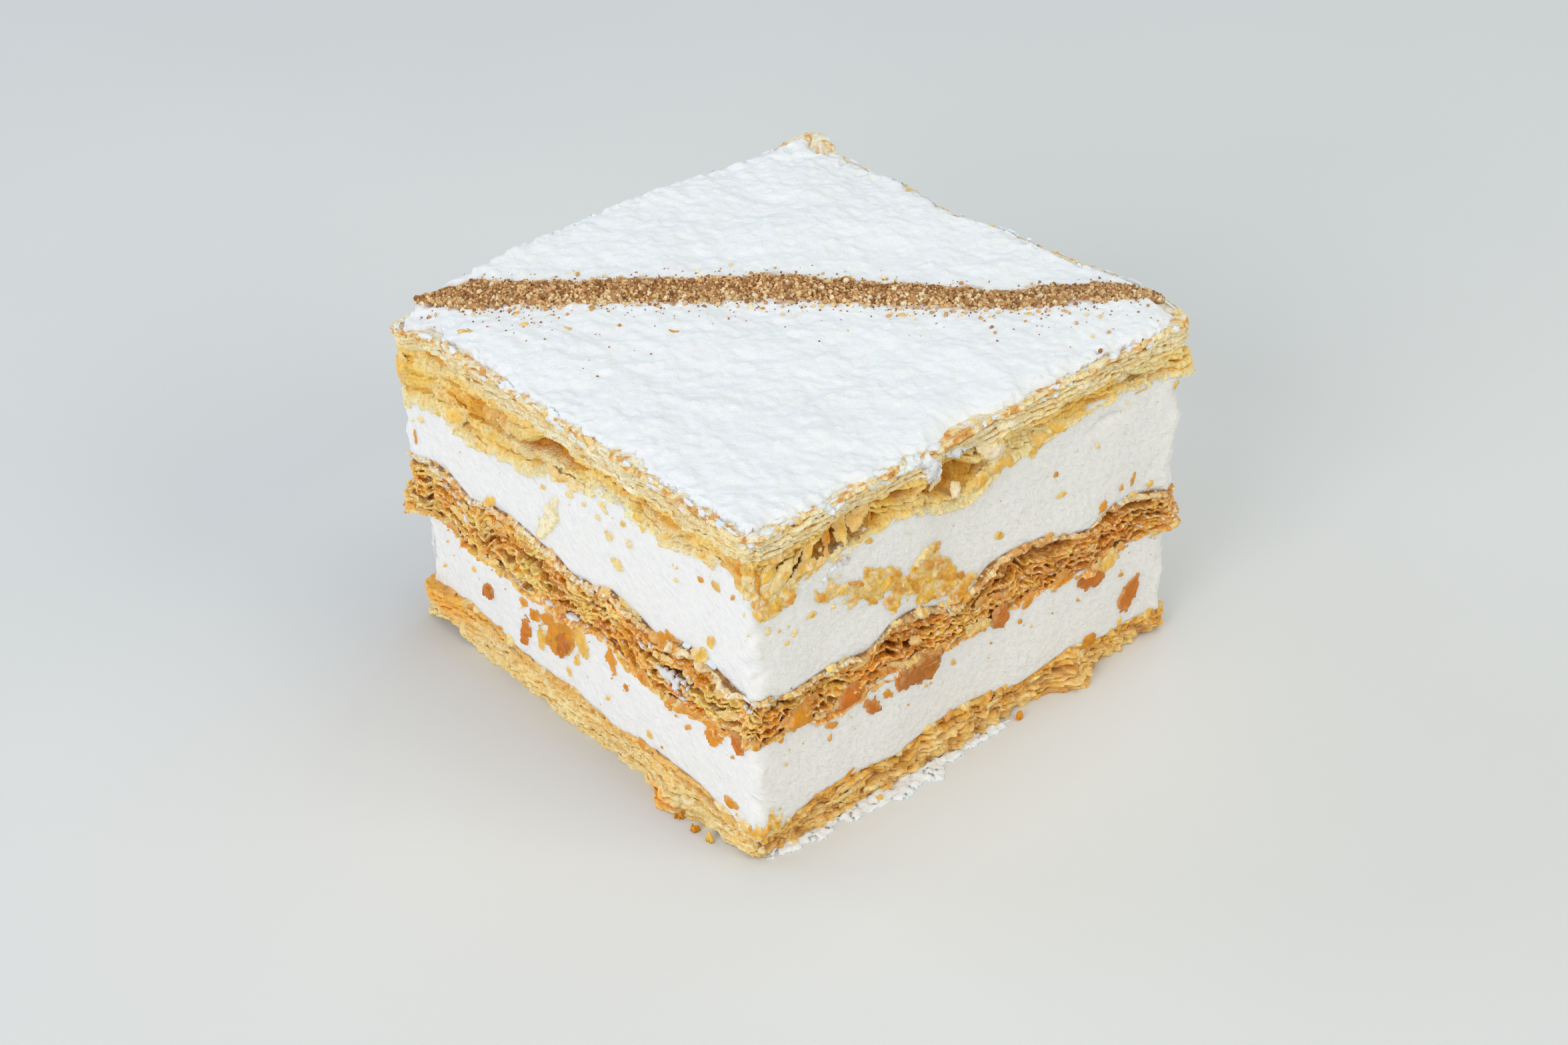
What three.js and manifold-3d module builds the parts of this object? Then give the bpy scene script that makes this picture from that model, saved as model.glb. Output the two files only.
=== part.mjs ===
// Mille feuille slice: three flaky pastry sheets with two layers of cream between them,
// a coat of powdered sugar and a diagonal line of cinnamon sugar.
// Millimetres, +Z up. The front cut face looks along -Y, the right cut face along +X.
import * as THREE from 'three';
import Module from 'manifold-3d';

// Slice without its loose flakes
const WIDTH = 80;
const DEPTH = 83;
const CRUST_Z = 54.1;
const CORNER_RADIUS = 2.2;
const LAYER_GAP = 0.3;

// The cream walls: inset from the outline, slow sway, fuller belly half way up, and the
// dent of the lower layer at the left front corner
const CREAM_INSET = 1.15;
const CREAM_SWAY = 0.25;
const CREAM_BELLY = 0.12;
const CREAM_BELLY_SWAY = 0.2;
const LOW_LEFT_DENT = { at: 0, z: 13, reach: 16, tall: 14, out: 2.5 };

// Mesh density round the outline: straight steps of each side, and of each corner arc
const FRONT_STEPS = 34;
const RIGHT_STEPS = 36;
const HIDDEN_STEPS = 17;
const CORNER_STEPS = 3;

// Inner rings of a layer face, as shares of the outline, with every 2nd and 4th station
const MIDDLE_RING = 0.84;
const INNER_RING = 0.5;
const MIDDLE_EDGE_SHARE = 0.7;
const INNER_EDGE_SHARE = 0.15;

// Where the layers meet, read along the outline from the left front corner: along the
// front face, then along the right face, one height every KNOT_STEP. The two other sides
// wander about the hidden level.
const KNOT_STEP = 5;
const HIDDEN_KNOTS = 10;
const HIDDEN_SWING = 1.6;
const UPPER_CREAM_TOP = {
  z: 45,
  hidden: 45.5,
  seed: 11,
  front: [40, 40.2, 43.5, 39.2, 39.6, 40, 40.4, 43, 44.4, 44.6, 47.6, 45.6, 45.2, 45.2, 46.2, 48],
  right: [45.2, 43, 44.6, 44.8, 45.2, 46.2, 45, 43.4, 43, 45, 45.6, 45.8, 46.4, 47.6, 47.4, 46.6, 46.4, 46],
};
const MIDDLE_SHEET_TOP = {
  z: 29,
  hidden: 29,
  seed: 23,
  front: [31, 32, 31.6, 28.8, 31, 31.2, 30.4, 30, 28.2, 28.6, 30.4, 29, 27.3, 29.3, 29.4, 28.2],
  right: [28, 26.2, 26.5, 26.9, 25.6, 28.8, 28.6, 26.2, 25.6, 29.4, 30, 29.4, 27.6, 25.8, 28, 27.8, 26.4, 25],
};
const MIDDLE_SHEET_UNDER = {
  z: 20,
  hidden: 20.5,
  seed: 37,
  front: [21, 22, 20.4, 20, 19.8, 19, 19.6, 19.6, 20.4, 21, 20, 18.5, 17.6, 17.4, 18.4, 18.6],
  right: [20.4, 20, 19.5, 19, 20, 19.8, 19.2, 19.2, 19.5, 18.9, 19.4, 19.6, 19.4, 18.9, 19, 19.5, 19.5, 19.2],
};
const BOTTOM_SHEET_TOP = {
  z: 6,
  hidden: 6,
  seed: 53,
  front: [6.6, 7.2, 8.8, 8.2, 7, 6.1, 6.3, 6.3, 6.6, 6.5, 5.7, 6.5, 6.6, 6.6, 6, 4.6],
  right: [3.4, 4.8, 6, 6.1, 5.4, 4.2, 5.6, 6, 6.4, 5.8, 4.3, 4.7, 5.4, 5.9, 4.2, 3.6, 3.6, 3.2],
};

// Bows of the four sides out of the plain rectangle: where, how wide, how far
const SIDE_BOWS = [
  { at: 176, reach: 20, out: 3 },
  { at: 211, reach: 12, out: -1.4 },
  { at: 233, reach: 9, out: -1.2 },
  { at: 245, reach: 8, out: 1.4 },
  { at: 282, reach: 48, out: 3.1 },
  { at: 2, reach: 9, out: 0.5 },
];
const BOW_AT_BASE = 0.3;

// Lumps (out above zero) and pockets (below zero) of the pastry edges:
// place along the outline, height, half sizes and depth
const TOP_SHEET_RELIEF = [
  { at: 37.5, z: 47.4, reach: 9, tall: 2.4, out: -3.2 },
  { at: 61, z: 48.4, reach: 11, tall: 1.7, out: -1.5 },
  { at: 21, z: 45.6, reach: 7, tall: 3, out: -1.6 },
  { at: 11, z: 50.2, reach: 7, tall: 2.2, out: -1 },
  { at: 97.5, z: 48.4, reach: 5, tall: 2.8, out: -3 },
  { at: 106, z: 49, reach: 6, tall: 3, out: -1.3 },
  { at: 111.5, z: 50, reach: 3.6, tall: 4, out: 1 },
  { at: 117.5, z: 49.6, reach: 6.5, tall: 2.8, out: -3.6 },
  { at: 124, z: 48.6, reach: 3.4, tall: 3.2, out: 0.9 },
  { at: 140, z: 48.4, reach: 22, tall: 1.6, out: -1.5 },
  { at: 165, z: 46.4, reach: 6.5, tall: 3.4, out: 2.6 },
];
const MIDDLE_SHEET_RELIEF = [
  { at: -1, z: 21, reach: 8, tall: 5, out: 2.4 },
  { at: 34, z: 16, reach: 8, tall: 6, out: 0.9 },
  { at: 66, z: 22, reach: 8, tall: 3, out: 0.8 },
  { at: 30, z: 25.5, reach: 12, tall: 2.6, out: -1.3 },
  { at: 70, z: 25.4, reach: 10, tall: 1.6, out: -1.4 },
  { at: 94, z: 23.5, reach: 8, tall: 3, out: -1.2 },
  { at: 109, z: 24.5, reach: 9, tall: 2.6, out: -2.2 },
  { at: 111, z: 17, reach: 7, tall: 3.4, out: 0.9 },
  { at: 133, z: 26, reach: 9, tall: 1.7, out: -3.2 },
  { at: 147, z: 17, reach: 7, tall: 3.6, out: 0.8 },
  { at: 164, z: 20, reach: 7, tall: 4.5, out: 2 },
];
const BOTTOM_SHEET_RELIEF = [
  { at: 5.5, z: 5, reach: 5, tall: 4, out: 0.9 },
  { at: 62, z: 0.8, reach: 6.5, tall: 2.6, out: 3.4 },
  { at: 90, z: 2.4, reach: 9, tall: 3, out: -0.8 },
  { at: 118, z: 3, reach: 10, tall: 4, out: 0.8 },
  { at: 142, z: 0.8, reach: 6, tall: 2.8, out: 3.6 },
  { at: 162, z: 2, reach: 7, tall: 3, out: 0.7 },
];

// Flakes that hang from an under edge in front of the cream: place, half width, drop
const TOP_SHEET_HANGS = [
  { at: 49, reach: 3, drop: 1.6 },
  { at: 84, reach: 4, drop: 1.4 },
  { at: 119, reach: 4, drop: 1.6 },
  { at: 166, reach: 4, drop: 1.4 },
];
const MIDDLE_SHEET_HANGS = [
  { at: -1, reach: 4, drop: 2.2 },
  { at: 34, reach: 6.5, drop: 7.4 },
  { at: 41, reach: 3.6, drop: 4.2 },
  { at: 47.6, reach: 2.2, drop: 4.8 },
  { at: 70.5, reach: 3, drop: 2.8 },
  { at: 96, reach: 6, drop: 2.4 },
  { at: 111.5, reach: 8, drop: 4 },
  { at: 126, reach: 4.4, drop: 2.2 },
  { at: 148, reach: 6.5, drop: 5.2 },
  { at: 164, reach: 4, drop: 1.8 },
];
// Parts of the base sheet whose edge is lifted clear of the table
const BASE_LIFTS = [
  { at: 7, reach: 7, lift: 2.6 },
  { at: 80, reach: 5, lift: 0.5 },
  { at: 163, reach: 8, lift: 0.8 },
];

// Flakes lying flat on the cream: place along the outline, height, length, width, tilt
const UPPER_CREAM_FLAKES = [
  { at: 34.8, z: 35.2, long: 9, wide: 3.6, tilt: 62 },
  { at: 51.2, z: 36.2, long: 2.8, wide: 2.2, tilt: 20 },
  { at: 70, z: 32.4, long: 3.6, wide: 1.8, tilt: 60 },
  { at: 71.5, z: 42.6, long: 2.6, wide: 1.8, tilt: 10 },
  { at: 63, z: 42, long: 2, wide: 1.4, tilt: 70 },
  { at: 100.5, z: 37.2, long: 10, wide: 4.2, tilt: -38 },
  { at: 107.5, z: 34.6, long: 7, wide: 4.6, tilt: -50 },
  { at: 113.6, z: 33.2, long: 8, wide: 4.4, tilt: 82 },
  { at: 146.5, z: 30, long: 2.6, wide: 1.7, tilt: -30 },
  { at: 153, z: 31.6, long: 3.4, wide: 1.2, tilt: 12 },
];
const LOWER_CREAM_FLAKES = [
  { at: 17.7, z: 13.6, long: 4.2, wide: 2.9, tilt: 48 },
  { at: 26.2, z: 10.6, long: 6, wide: 2, tilt: 62 },
  { at: 53.6, z: 13.4, long: 2, wide: 1.2, tilt: 10 },
  { at: 74, z: 8.2, long: 3.8, wide: 1.7, tilt: 18 },
  { at: 155, z: 9.6, long: 6, wide: 4.6, tilt: 80 },
  { at: 131, z: 14.8, long: 2, wide: 1.2, tilt: 20 },
];
const FLAKE_THICKNESS = 0.8;
const FLAKE_PROUD = 0.3;
const FLAKE_SIDES = 7;
const FLAKE_LEAST_SIZE = 0.8;
const FLAKE_SIZE_SPREAD = 0.35;
const FLAKE_TURN_SPREAD = 0.35;
const FLAKE_FACE_SHARE = 0.92;
const FLAKE_CROWN = 0.6;

// Powdered sugar coat and the cinnamon sugar line across it
const POWDER_THICKNESS = 0.72;
const POWDER_RIM_THICKNESS = 0.34;
const POWDER_RIM_INSET = 1.15;
const POWDER_RIM_SWAY = 0.45;
const POWDER_RIM_TEAR = 0.3;
const POWDER_LUMP = 0.22;

// Rings over the coat: every how many stations, and their share of the coat's edge
const POWDER_EDGE_INSET = 2.04;
const POWDER_RINGS = [[1, 0.985], [2, 0.89], [2, 0.77], [2, 0.64], [4, 0.5], [4, 0.34], [4, 0.17]];

const LINE_PATH = [
  [-41, -34.5], [-30, -24.5], [-18, -11], [-5, 4], [6, 13.2], [16, 21.8], [24, 32.8], [31, 41.6],
];
const LINE_STEP = 1.4;
const LINE_WIDTH = 6.3;
const LINE_START_WIDTH = 1.15;
const LINE_END_WIDTH = 0.8;
const LINE_TIP_SHARE = 1 / 22;
const LINE_TIP_LEAST = 0.12;
const LINE_WAVER = 0.16;
const LINE_FINE_WAVER = 0.1;
const LINE_EDGE_TEAR = 0.22;
const LINE_HEIGHT = 0.95;
const LINE_COLUMNS = 6;
const GRAIN_BUMP = 0.3;
const LINE_EDGE = 0.36;
const LINE_ROOT = 0.68;
const RIM_CLEARANCE = 1.006;

const PERIMETER = 2 * (WIDTH + DEPTH);

const lerp = THREE.MathUtils.lerp;
const clamp = THREE.MathUtils.clamp;
const smooth = (u) => u * u * (3 - 2 * u);

function hash(n) {
  const wave = Math.sin(n * 127.1 + 311.7) * 43758.5453;
  return wave - Math.floor(wave);
}

// Smooth random wave between -1 and 1 that closes round the outline
function ripple(t, wavelength, seed) {
  const cells = Math.round(PERIMETER / wavelength);
  const place = (((t / PERIMETER) % 1) + 1) % 1 * cells;
  const cell = Math.floor(place);
  const from = hash((cell % cells) + seed * 61.7);
  const to = hash(((cell + 1) % cells) + seed * 61.7);
  return 2 * lerp(from, to, smooth(place - cell)) - 1;
}

// Distance along the closed outline
function along(t, at) {
  const gap = Math.abs((((t - at) % PERIMETER) + PERIMETER) % PERIMETER);
  return Math.min(gap, PERIMETER - gap);
}

function bell(distance, reach) {
  const u = clamp(1 - (distance / reach) ** 2, 0, 1);
  return u * u;
}

// Stations round the rounded rectangle, counter-clockwise seen from above
function outlineStations() {
  const halfX = WIDTH / 2;
  const halfY = DEPTH / 2;
  const sides = [
    { start: [-halfX, -halfY], turn: 0, length: WIDTH, steps: FRONT_STEPS },
    { start: [halfX, -halfY], turn: Math.PI / 2, length: DEPTH, steps: RIGHT_STEPS },
    { start: [halfX, halfY], turn: Math.PI, length: WIDTH, steps: HIDDEN_STEPS },
    { start: [-halfX, halfY], turn: 1.5 * Math.PI, length: DEPTH, steps: HIDDEN_STEPS },
  ];
  const stations = [];
  let passed = 0;
  for (const side of sides) {
    const dx = Math.cos(side.turn);
    const dy = Math.sin(side.turn);
    const straight = side.length - 2 * CORNER_RADIUS;
    for (let i = 0; i < side.steps; i += 1) {
      const s = CORNER_RADIUS + (straight * i) / side.steps;
      stations.push({
        t: passed + s,
        x: side.start[0] + dx * s,
        y: side.start[1] + dy * s,
        nx: dy,
        ny: -dx,
      });
    }
    const reach = side.length - CORNER_RADIUS;
    const centreX = side.start[0] + dx * reach - dy * CORNER_RADIUS;
    const centreY = side.start[1] + dy * reach + dx * CORNER_RADIUS;
    for (let j = 0; j < CORNER_STEPS; j += 1) {
      const turned = side.turn - Math.PI / 2 + (Math.PI / 2) * (j / CORNER_STEPS);
      stations.push({
        t: passed + reach + (2 * CORNER_RADIUS * j) / CORNER_STEPS,
        x: centreX + Math.cos(turned) * CORNER_RADIUS,
        y: centreY + Math.sin(turned) * CORNER_RADIUS,
        nx: Math.cos(turned),
        ny: Math.sin(turned),
      });
    }
    passed += side.length;
  }
  return stations;
}

const STATIONS = outlineStations();

// Height of a layer boundary at the outline, as a function of the place along it
function boundary(layer) {
  const shown = [...layer.front, ...layer.right];
  const knots = shown.map((z, i) => [i * KNOT_STEP, z]);
  const lastShown = knots[knots.length - 1][0];
  for (let i = 1; i < HIDDEN_KNOTS; i += 1) {
    const t = lerp(lastShown, PERIMETER, i / HIDDEN_KNOTS);
    knots.push([t, layer.hidden + HIDDEN_SWING * (2 * hash(layer.seed + i) - 1)]);
  }
  knots.push([PERIMETER, layer.front[0]]);
  return (t) => {
    const place = ((t % PERIMETER) + PERIMETER) % PERIMETER;
    const next = knots.findIndex((knot) => knot[0] > place);
    const [t0, z0] = knots[next - 1];
    const [t1, z1] = knots[next];
    return lerp(z0, z1, smooth((place - t0) / (t1 - t0)));
  };
}

const LAYERS = [UPPER_CREAM_TOP, MIDDLE_SHEET_TOP, MIDDLE_SHEET_UNDER, BOTTOM_SHEET_TOP];
const EDGE_HEIGHT = new Map(LAYERS.map((layer) => [layer, boundary(layer)]));

// Outward bow of the whole slice at a place along the outline; it fades toward the base
function bow(t, z) {
  const sum = SIDE_BOWS.reduce((total, b) => total + b.out * bell(along(t, b.at), b.reach), 0);
  return sum * lerp(BOW_AT_BASE, 1, clamp(z / CRUST_Z, 0, 1));
}

function creamInset(t, z) {
  return CREAM_INSET + CREAM_SWAY * ripple(t, 17, 71) + reliefAt([LOW_LEFT_DENT], t, z);
}

function outPoint(station, out, z) {
  const reach = out + bow(station.t, z);
  return [station.x + station.nx * reach, station.y + station.ny * reach, z];
}

function everyNth(step) {
  return STATIONS.filter((station, i) => i % step === 0);
}

// A layer face between two layers, as rings from the cream wall in to the centre
function layerFace(layer, offset) {
  const edgeAt = EDGE_HEIGHT.get(layer);
  const wall = STATIONS.map((station) => {
    const [x, y] = outPoint(station, -creamInset(station.t, layer.z), layer.z);
    return [x, y, edgeAt(station.t) + offset];
  });
  const ring = (step, share, edgeShare) => everyNth(step).map((station) => [
    station.x * share,
    station.y * share,
    lerp(layer.z, edgeAt(station.t), edgeShare) + offset,
  ]);
  return [
    wall,
    ring(2, MIDDLE_RING, MIDDLE_EDGE_SHARE),
    ring(4, INNER_RING, INNER_EDGE_SHARE),
    [[0, 0, layer.z + offset]],
  ];
}

// Rings joined from the lower pole to the upper pole; neighbours have equal counts, or
// one has twice as many points as the other
function skin(rings) {
  const positions = [];
  const starts = [];
  for (const ring of rings) {
    starts.push(positions.length / 3);
    ring.forEach((point) => positions.push(...point));
  }
  const index = [];
  for (let r = 0; r + 1 < rings.length; r += 1) {
    const low = rings[r].length;
    const high = rings[r + 1].length;
    const a = (i) => starts[r] + (i % low);
    const b = (i) => starts[r + 1] + (i % high);
    const count = Math.max(1, Math.min(low, high));
    if (low === 1) {
      for (let i = 0; i < high; i += 1) {
        index.push(a(0), b(i + 1), b(i));
      }
    } else if (high === 1) {
      for (let i = 0; i < low; i += 1) {
        index.push(a(i), a(i + 1), b(0));
      }
    } else if (low === high) {
      for (let i = 0; i < count; i += 1) {
        index.push(a(i), a(i + 1), b(i + 1), a(i), b(i + 1), b(i));
      }
    } else if (low > high) {
      for (let i = 0; i < count; i += 1) {
        index.push(a(2 * i), a(2 * i + 1), b(i));
        index.push(a(2 * i + 1), b(i + 1), b(i));
        index.push(a(2 * i + 1), a(2 * i + 2), b(i + 1));
      }
    } else {
      for (let i = 0; i < count; i += 1) {
        index.push(a(i), b(2 * i + 1), b(2 * i));
        index.push(a(i), a(i + 1), b(2 * i + 1));
        index.push(a(i + 1), b(2 * i + 2), b(2 * i + 1));
      }
    }
  }
  const geometry = new THREE.BufferGeometry();
  geometry.setAttribute('position', new THREE.Float32BufferAttribute(positions, 3));
  geometry.setIndex(index);
  return geometry;
}

const sumOf = (features, value) => features.reduce((total, feature) => total + value(feature), 0);

function reliefAt(features, t, z) {
  return sumOf(features, (f) => f.out * bell(along(t, f.at), f.reach) * bell(Math.abs(z - f.z), f.tall));
}

function dropAt(features, t) {
  return sumOf(features, (f) => f.drop * bell(along(t, f.at), f.reach));
}

// Flaky side of a sheet: rows of edge points that run in and out like torn leaves; the
// lowest row stays outside the inner side of the hanging flakes
const UNDER_EDGE_LIMIT = -0.3;
const ROW_WAVER = 0.22;
const FINE_TEAR = 0.22;
function flakyRows(sheet, lowEdge, highEdge) {
  const rows = [];
  for (let row = 0; row <= sheet.rows; row += 1) {
    rows.push(STATIONS.map((station) => {
      const t = station.t;
      const low = lowEdge(t);
      const high = highEdge(station);
      const spacing = (high - low) / sheet.rows;
      const inner = row > 0 && row < sheet.rows;
      const waver = inner ? ROW_WAVER * spacing * ripple(t, 7, sheet.seed + 40 + row) : 0;
      const z = sheet.rowHeight(row, low, high) + waver;
      const torn = sheet.torn(row) * (0.5 + 0.5 * ripple(t, 4.3, sheet.seed + row));
      const fine = FINE_TEAR * ripple(t, 2.4, sheet.seed + 80 + row);
      const out = sheet.lead(row) - torn + fine + reliefAt(sheet.relief, t, z);
      return outPoint(station, Math.max(out, row === 0 ? UNDER_EDGE_LIMIT : sheet.deepest), z);
    }));
  }
  return rows;
}

// Inner side of the flakes that hang in front of the cream, clear of its wall; it ends
// a little above their lower edge
const HANG_CLEARANCE = 0.42;
const HANG_INNER_SHARE = 0.92;
function hangingRing(layer, hangs) {
  const edgeAt = EDGE_HEIGHT.get(layer);
  return STATIONS.map((station) => {
    const z = edgeAt(station.t) + LAYER_GAP / 2 - dropAt(hangs, station.t) * HANG_INNER_SHARE;
    return outPoint(station, HANG_CLEARANCE - creamInset(station.t, z), z);
  });
}

// The crust: shallow waves, a dip at the left front corner and a curl at the left back one
const CRUST_WAVE = 0.22;
const CRUST_SWELL = 0.15;
const CORNER_DIP = 2.3;
const CORNER_DIP_REACH = 9;
const CORNER_CURL = 1.2;
const CORNER_CURL_REACH = 7;
const CRUST_RIM_INSET = 3.4;

function crustAt(x, y) {
  const fromLeft = Math.hypot(x + WIDTH / 2, y + DEPTH / 2);
  const fromBack = Math.hypot(x + WIDTH / 2, y - DEPTH / 2);
  const wave = CRUST_WAVE * Math.sin(x / 6.3 + 0.6) * Math.cos(y / 7.1 + 0.4);
  const swell = CRUST_SWELL * Math.sin((x - y) / 9.2);
  const dip = CORNER_DIP * Math.exp(-((fromLeft / CORNER_DIP_REACH) ** 2));
  const curl = CORNER_CURL * Math.exp(-((fromBack / CORNER_CURL_REACH) ** 2));
  return CRUST_Z + wave + swell - dip + curl;
}

// The crust under the powdered sugar, as rings from near its rim in to the centre
function crustFace(offset) {
  const rim = STATIONS.map((station) => {
    const [x, y] = outPoint(station, -CRUST_RIM_INSET, CRUST_Z);
    return [x, y, crustAt(x, y) + offset];
  });
  const ring = (step, share) => everyNth(step).map((station) => {
    const x = station.x * share;
    const y = station.y * share;
    return [x, y, crustAt(x, y) + offset];
  });
  return [rim, ring(2, MIDDLE_RING), ring(4, INNER_RING), [[0, 0, crustAt(0, 0) + offset]]];
}

// Top sheet: a compact pale band over leaves that are torn and part from each other
const LIP_Z = 50.1;
const LIP_ROW = 4;
const TOP_SHEET = {
  rows: 7,
  seed: 200,
  deepest: -4.2,
  relief: TOP_SHEET_RELIEF,
  rowHeight: (row, low, high) => (row <= LIP_ROW
    ? lerp(low, LIP_Z, row / LIP_ROW)
    : lerp(LIP_Z, high, (row - LIP_ROW) / (TOP_SHEET.rows - LIP_ROW))),
  torn: (row) => (row < LIP_ROW ? 1.25 : 0.5),
  lead: (row) => (row < LIP_ROW ? 0.25 : 0.35),
};

function topSheet() {
  const edgeAt = EDGE_HEIGHT.get(UPPER_CREAM_TOP);
  const low = (t) => edgeAt(t) + LAYER_GAP / 2 - dropAt(TOP_SHEET_HANGS, t);
  const high = (station) => {
    const [x, y] = outPoint(station, 0, CRUST_Z);
    return crustAt(x, y) + 0.16 * ripple(station.t, 5, 207);
  };
  return skin([
    ...layerFace(UPPER_CREAM_TOP, LAYER_GAP / 2).reverse(),
    hangingRing(UPPER_CREAM_TOP, TOP_SHEET_HANGS),
    ...flakyRows(TOP_SHEET, low, high),
    ...crustFace(0),
  ]);
}

// Middle sheet: browned leaves, moist from the cream on both sides
const MIDDLE_SHEET = {
  rows: 6,
  seed: 300,
  deepest: -4,
  relief: MIDDLE_SHEET_RELIEF,
  rowHeight: (row, low, high) => lerp(low, high, row / MIDDLE_SHEET.rows),
  torn: (row) => (row === MIDDLE_SHEET.rows ? 0.7 : 1.3),
  lead: () => 0.4,
};

function middleSheet() {
  const underAt = EDGE_HEIGHT.get(MIDDLE_SHEET_UNDER);
  const overAt = EDGE_HEIGHT.get(MIDDLE_SHEET_TOP);
  const low = (t) => underAt(t) + LAYER_GAP / 2 - dropAt(MIDDLE_SHEET_HANGS, t);
  const high = (station) => overAt(station.t) - LAYER_GAP / 2;
  return skin([
    ...layerFace(MIDDLE_SHEET_UNDER, LAYER_GAP / 2).reverse(),
    hangingRing(MIDDLE_SHEET_UNDER, MIDDLE_SHEET_HANGS),
    ...flakyRows(MIDDLE_SHEET, low, high),
    ...layerFace(MIDDLE_SHEET_TOP, -LAYER_GAP / 2),
  ]);
}

// Bottom sheet: compact and golden, flat underneath so the slice stands on it
const BASE_INSET = 2.8;
const BOTTOM_SHEET = {
  rows: 4,
  seed: 400,
  deepest: -2.2,
  relief: BOTTOM_SHEET_RELIEF,
  rowHeight: (row, low, high) => lerp(low, high, row / BOTTOM_SHEET.rows),
  torn: () => 0.8,
  lead: () => 0.1,
};

function bottomSheet() {
  const overAt = EDGE_HEIGHT.get(BOTTOM_SHEET_TOP);
  const low = (t) => sumOf(BASE_LIFTS, (f) => f.lift * bell(along(t, f.at), f.reach));
  const high = (station) => overAt(station.t) - LAYER_GAP / 2;
  const flat = (step, share) => everyNth(step).map((station) => [station.x * share, station.y * share, 0]);
  return skin([
    [[0, 0, 0]],
    flat(4, INNER_RING),
    flat(2, MIDDLE_RING),
    STATIONS.map((station) => outPoint(station, -BASE_INSET, 0)),
    ...flakyRows(BOTTOM_SHEET, low, high),
    ...layerFace(BOTTOM_SHEET_TOP, -LAYER_GAP / 2),
  ]);
}

function creamBlock(below, above) {
  const lowAt = EDGE_HEIGHT.get(below);
  const highAt = EDGE_HEIGHT.get(above);
  const waist = STATIONS.map((station) => {
    const z = lerp(lowAt(station.t), highAt(station.t), 0.5);
    const belly = CREAM_BELLY + CREAM_BELLY_SWAY * ripple(station.t, 9, 91);
    return outPoint(station, belly - creamInset(station.t, z), z);
  });
  return skin([
    ...layerFace(below, LAYER_GAP / 2).reverse(),
    waist,
    ...layerFace(above, -LAYER_GAP / 2),
  ]);
}

// Point, outward normal and direction along the wall at any place round the outline
function wallFrame(t) {
  const last = STATIONS.length - 1;
  const next = STATIONS.findIndex((station) => station.t > t);
  const b = next < 0 ? last : next;
  const from = STATIONS[(b + last) % STATIONS.length];
  const to = STATIONS[b];
  const share = clamp((t - from.t) / (to.t - from.t), 0, 1);
  return {
    t,
    x: lerp(from.x, to.x, share),
    y: lerp(from.y, to.y, share),
    nx: lerp(from.nx, to.nx, share),
    ny: lerp(from.ny, to.ny, share),
  };
}

// Thin torn flake pressed flat onto a cream wall
function wallFlake(flake, seed) {
  const frame = wallFrame(flake.at);
  const [x, y] = outPoint(frame, FLAKE_PROUD - creamInset(flake.at, flake.z), flake.z);
  const tilt = THREE.MathUtils.degToRad(flake.tilt);
  const outline = [];
  for (let i = 0; i < FLAKE_SIDES; i += 1) {
    const turn = (2 * Math.PI * (i + FLAKE_TURN_SPREAD * hash(seed + i * 3.1))) / FLAKE_SIDES;
    const size = FLAKE_LEAST_SIZE + FLAKE_SIZE_SPREAD * hash(seed + i * 7.7);
    const u = Math.cos(turn) * size * flake.long / 2;
    const v = Math.sin(turn) * size * flake.wide / 2;
    outline.push([u * Math.cos(tilt) - v * Math.sin(tilt), u * Math.sin(tilt) + v * Math.cos(tilt)]);
  }
  const layer = (scale, out) => outline.map(([u, v]) => [
    x - frame.ny * u * scale + frame.nx * out,
    y + frame.nx * u * scale + frame.ny * out,
    flake.z + v * scale,
  ]);
  const pole = (out) => [[x + frame.nx * out, y + frame.ny * out, flake.z]];
  return skin([
    pole(-FLAKE_THICKNESS / 2),
    layer(1, -FLAKE_THICKNESS / 2),
    layer(FLAKE_FACE_SHARE, FLAKE_THICKNESS / 2),
    pole(FLAKE_THICKNESS * FLAKE_CROWN),
  ]);
}

const wasm = await Module();
wasm.setup();

function toSolid(geometry) {
  const mesh = new wasm.Mesh({
    numProp: 3,
    vertProperties: new Float32Array(geometry.getAttribute('position').array),
    triVerts: new Uint32Array(geometry.getIndex().array),
  });
  return new wasm.Manifold(mesh);
}

function toGeometry(solid) {
  const mesh = solid.getMesh();
  const geometry = new THREE.BufferGeometry();
  const points = [];
  for (let i = 0; i < mesh.numVert; i += 1) {
    const at = i * mesh.numProp;
    points.push(mesh.vertProperties[at], mesh.vertProperties[at + 1], mesh.vertProperties[at + 2]);
  }
  geometry.setAttribute('position', new THREE.Float32BufferAttribute(points, 3));
  geometry.setIndex(Array.from(mesh.triVerts));
  return geometry;
}

function creamWithFlakes(below, above, flakes, seed) {
  const solids = flakes.map((flake, i) => toSolid(wallFlake(flake, seed + 17 * i)));
  return toGeometry(solids.reduce((whole, flake) => whole.add(flake), toSolid(creamBlock(below, above))));
}

// Powdered sugar: a thin coat with a ragged rim, over the crust
const POWDER_GAP = 0.22;

function powderTopAt(x, y, thickness) {
  const u = x * 0.61 + 1.7 * Math.sin(y * 0.23);
  const v = y * 0.53 + 1.3 * Math.sin(x * 0.19);
  const lump = POWDER_LUMP * Math.sin(u) * Math.cos(v) * (thickness / POWDER_THICKNESS);
  return crustAt(x, y) + POWDER_GAP + thickness + lump;
}

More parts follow.
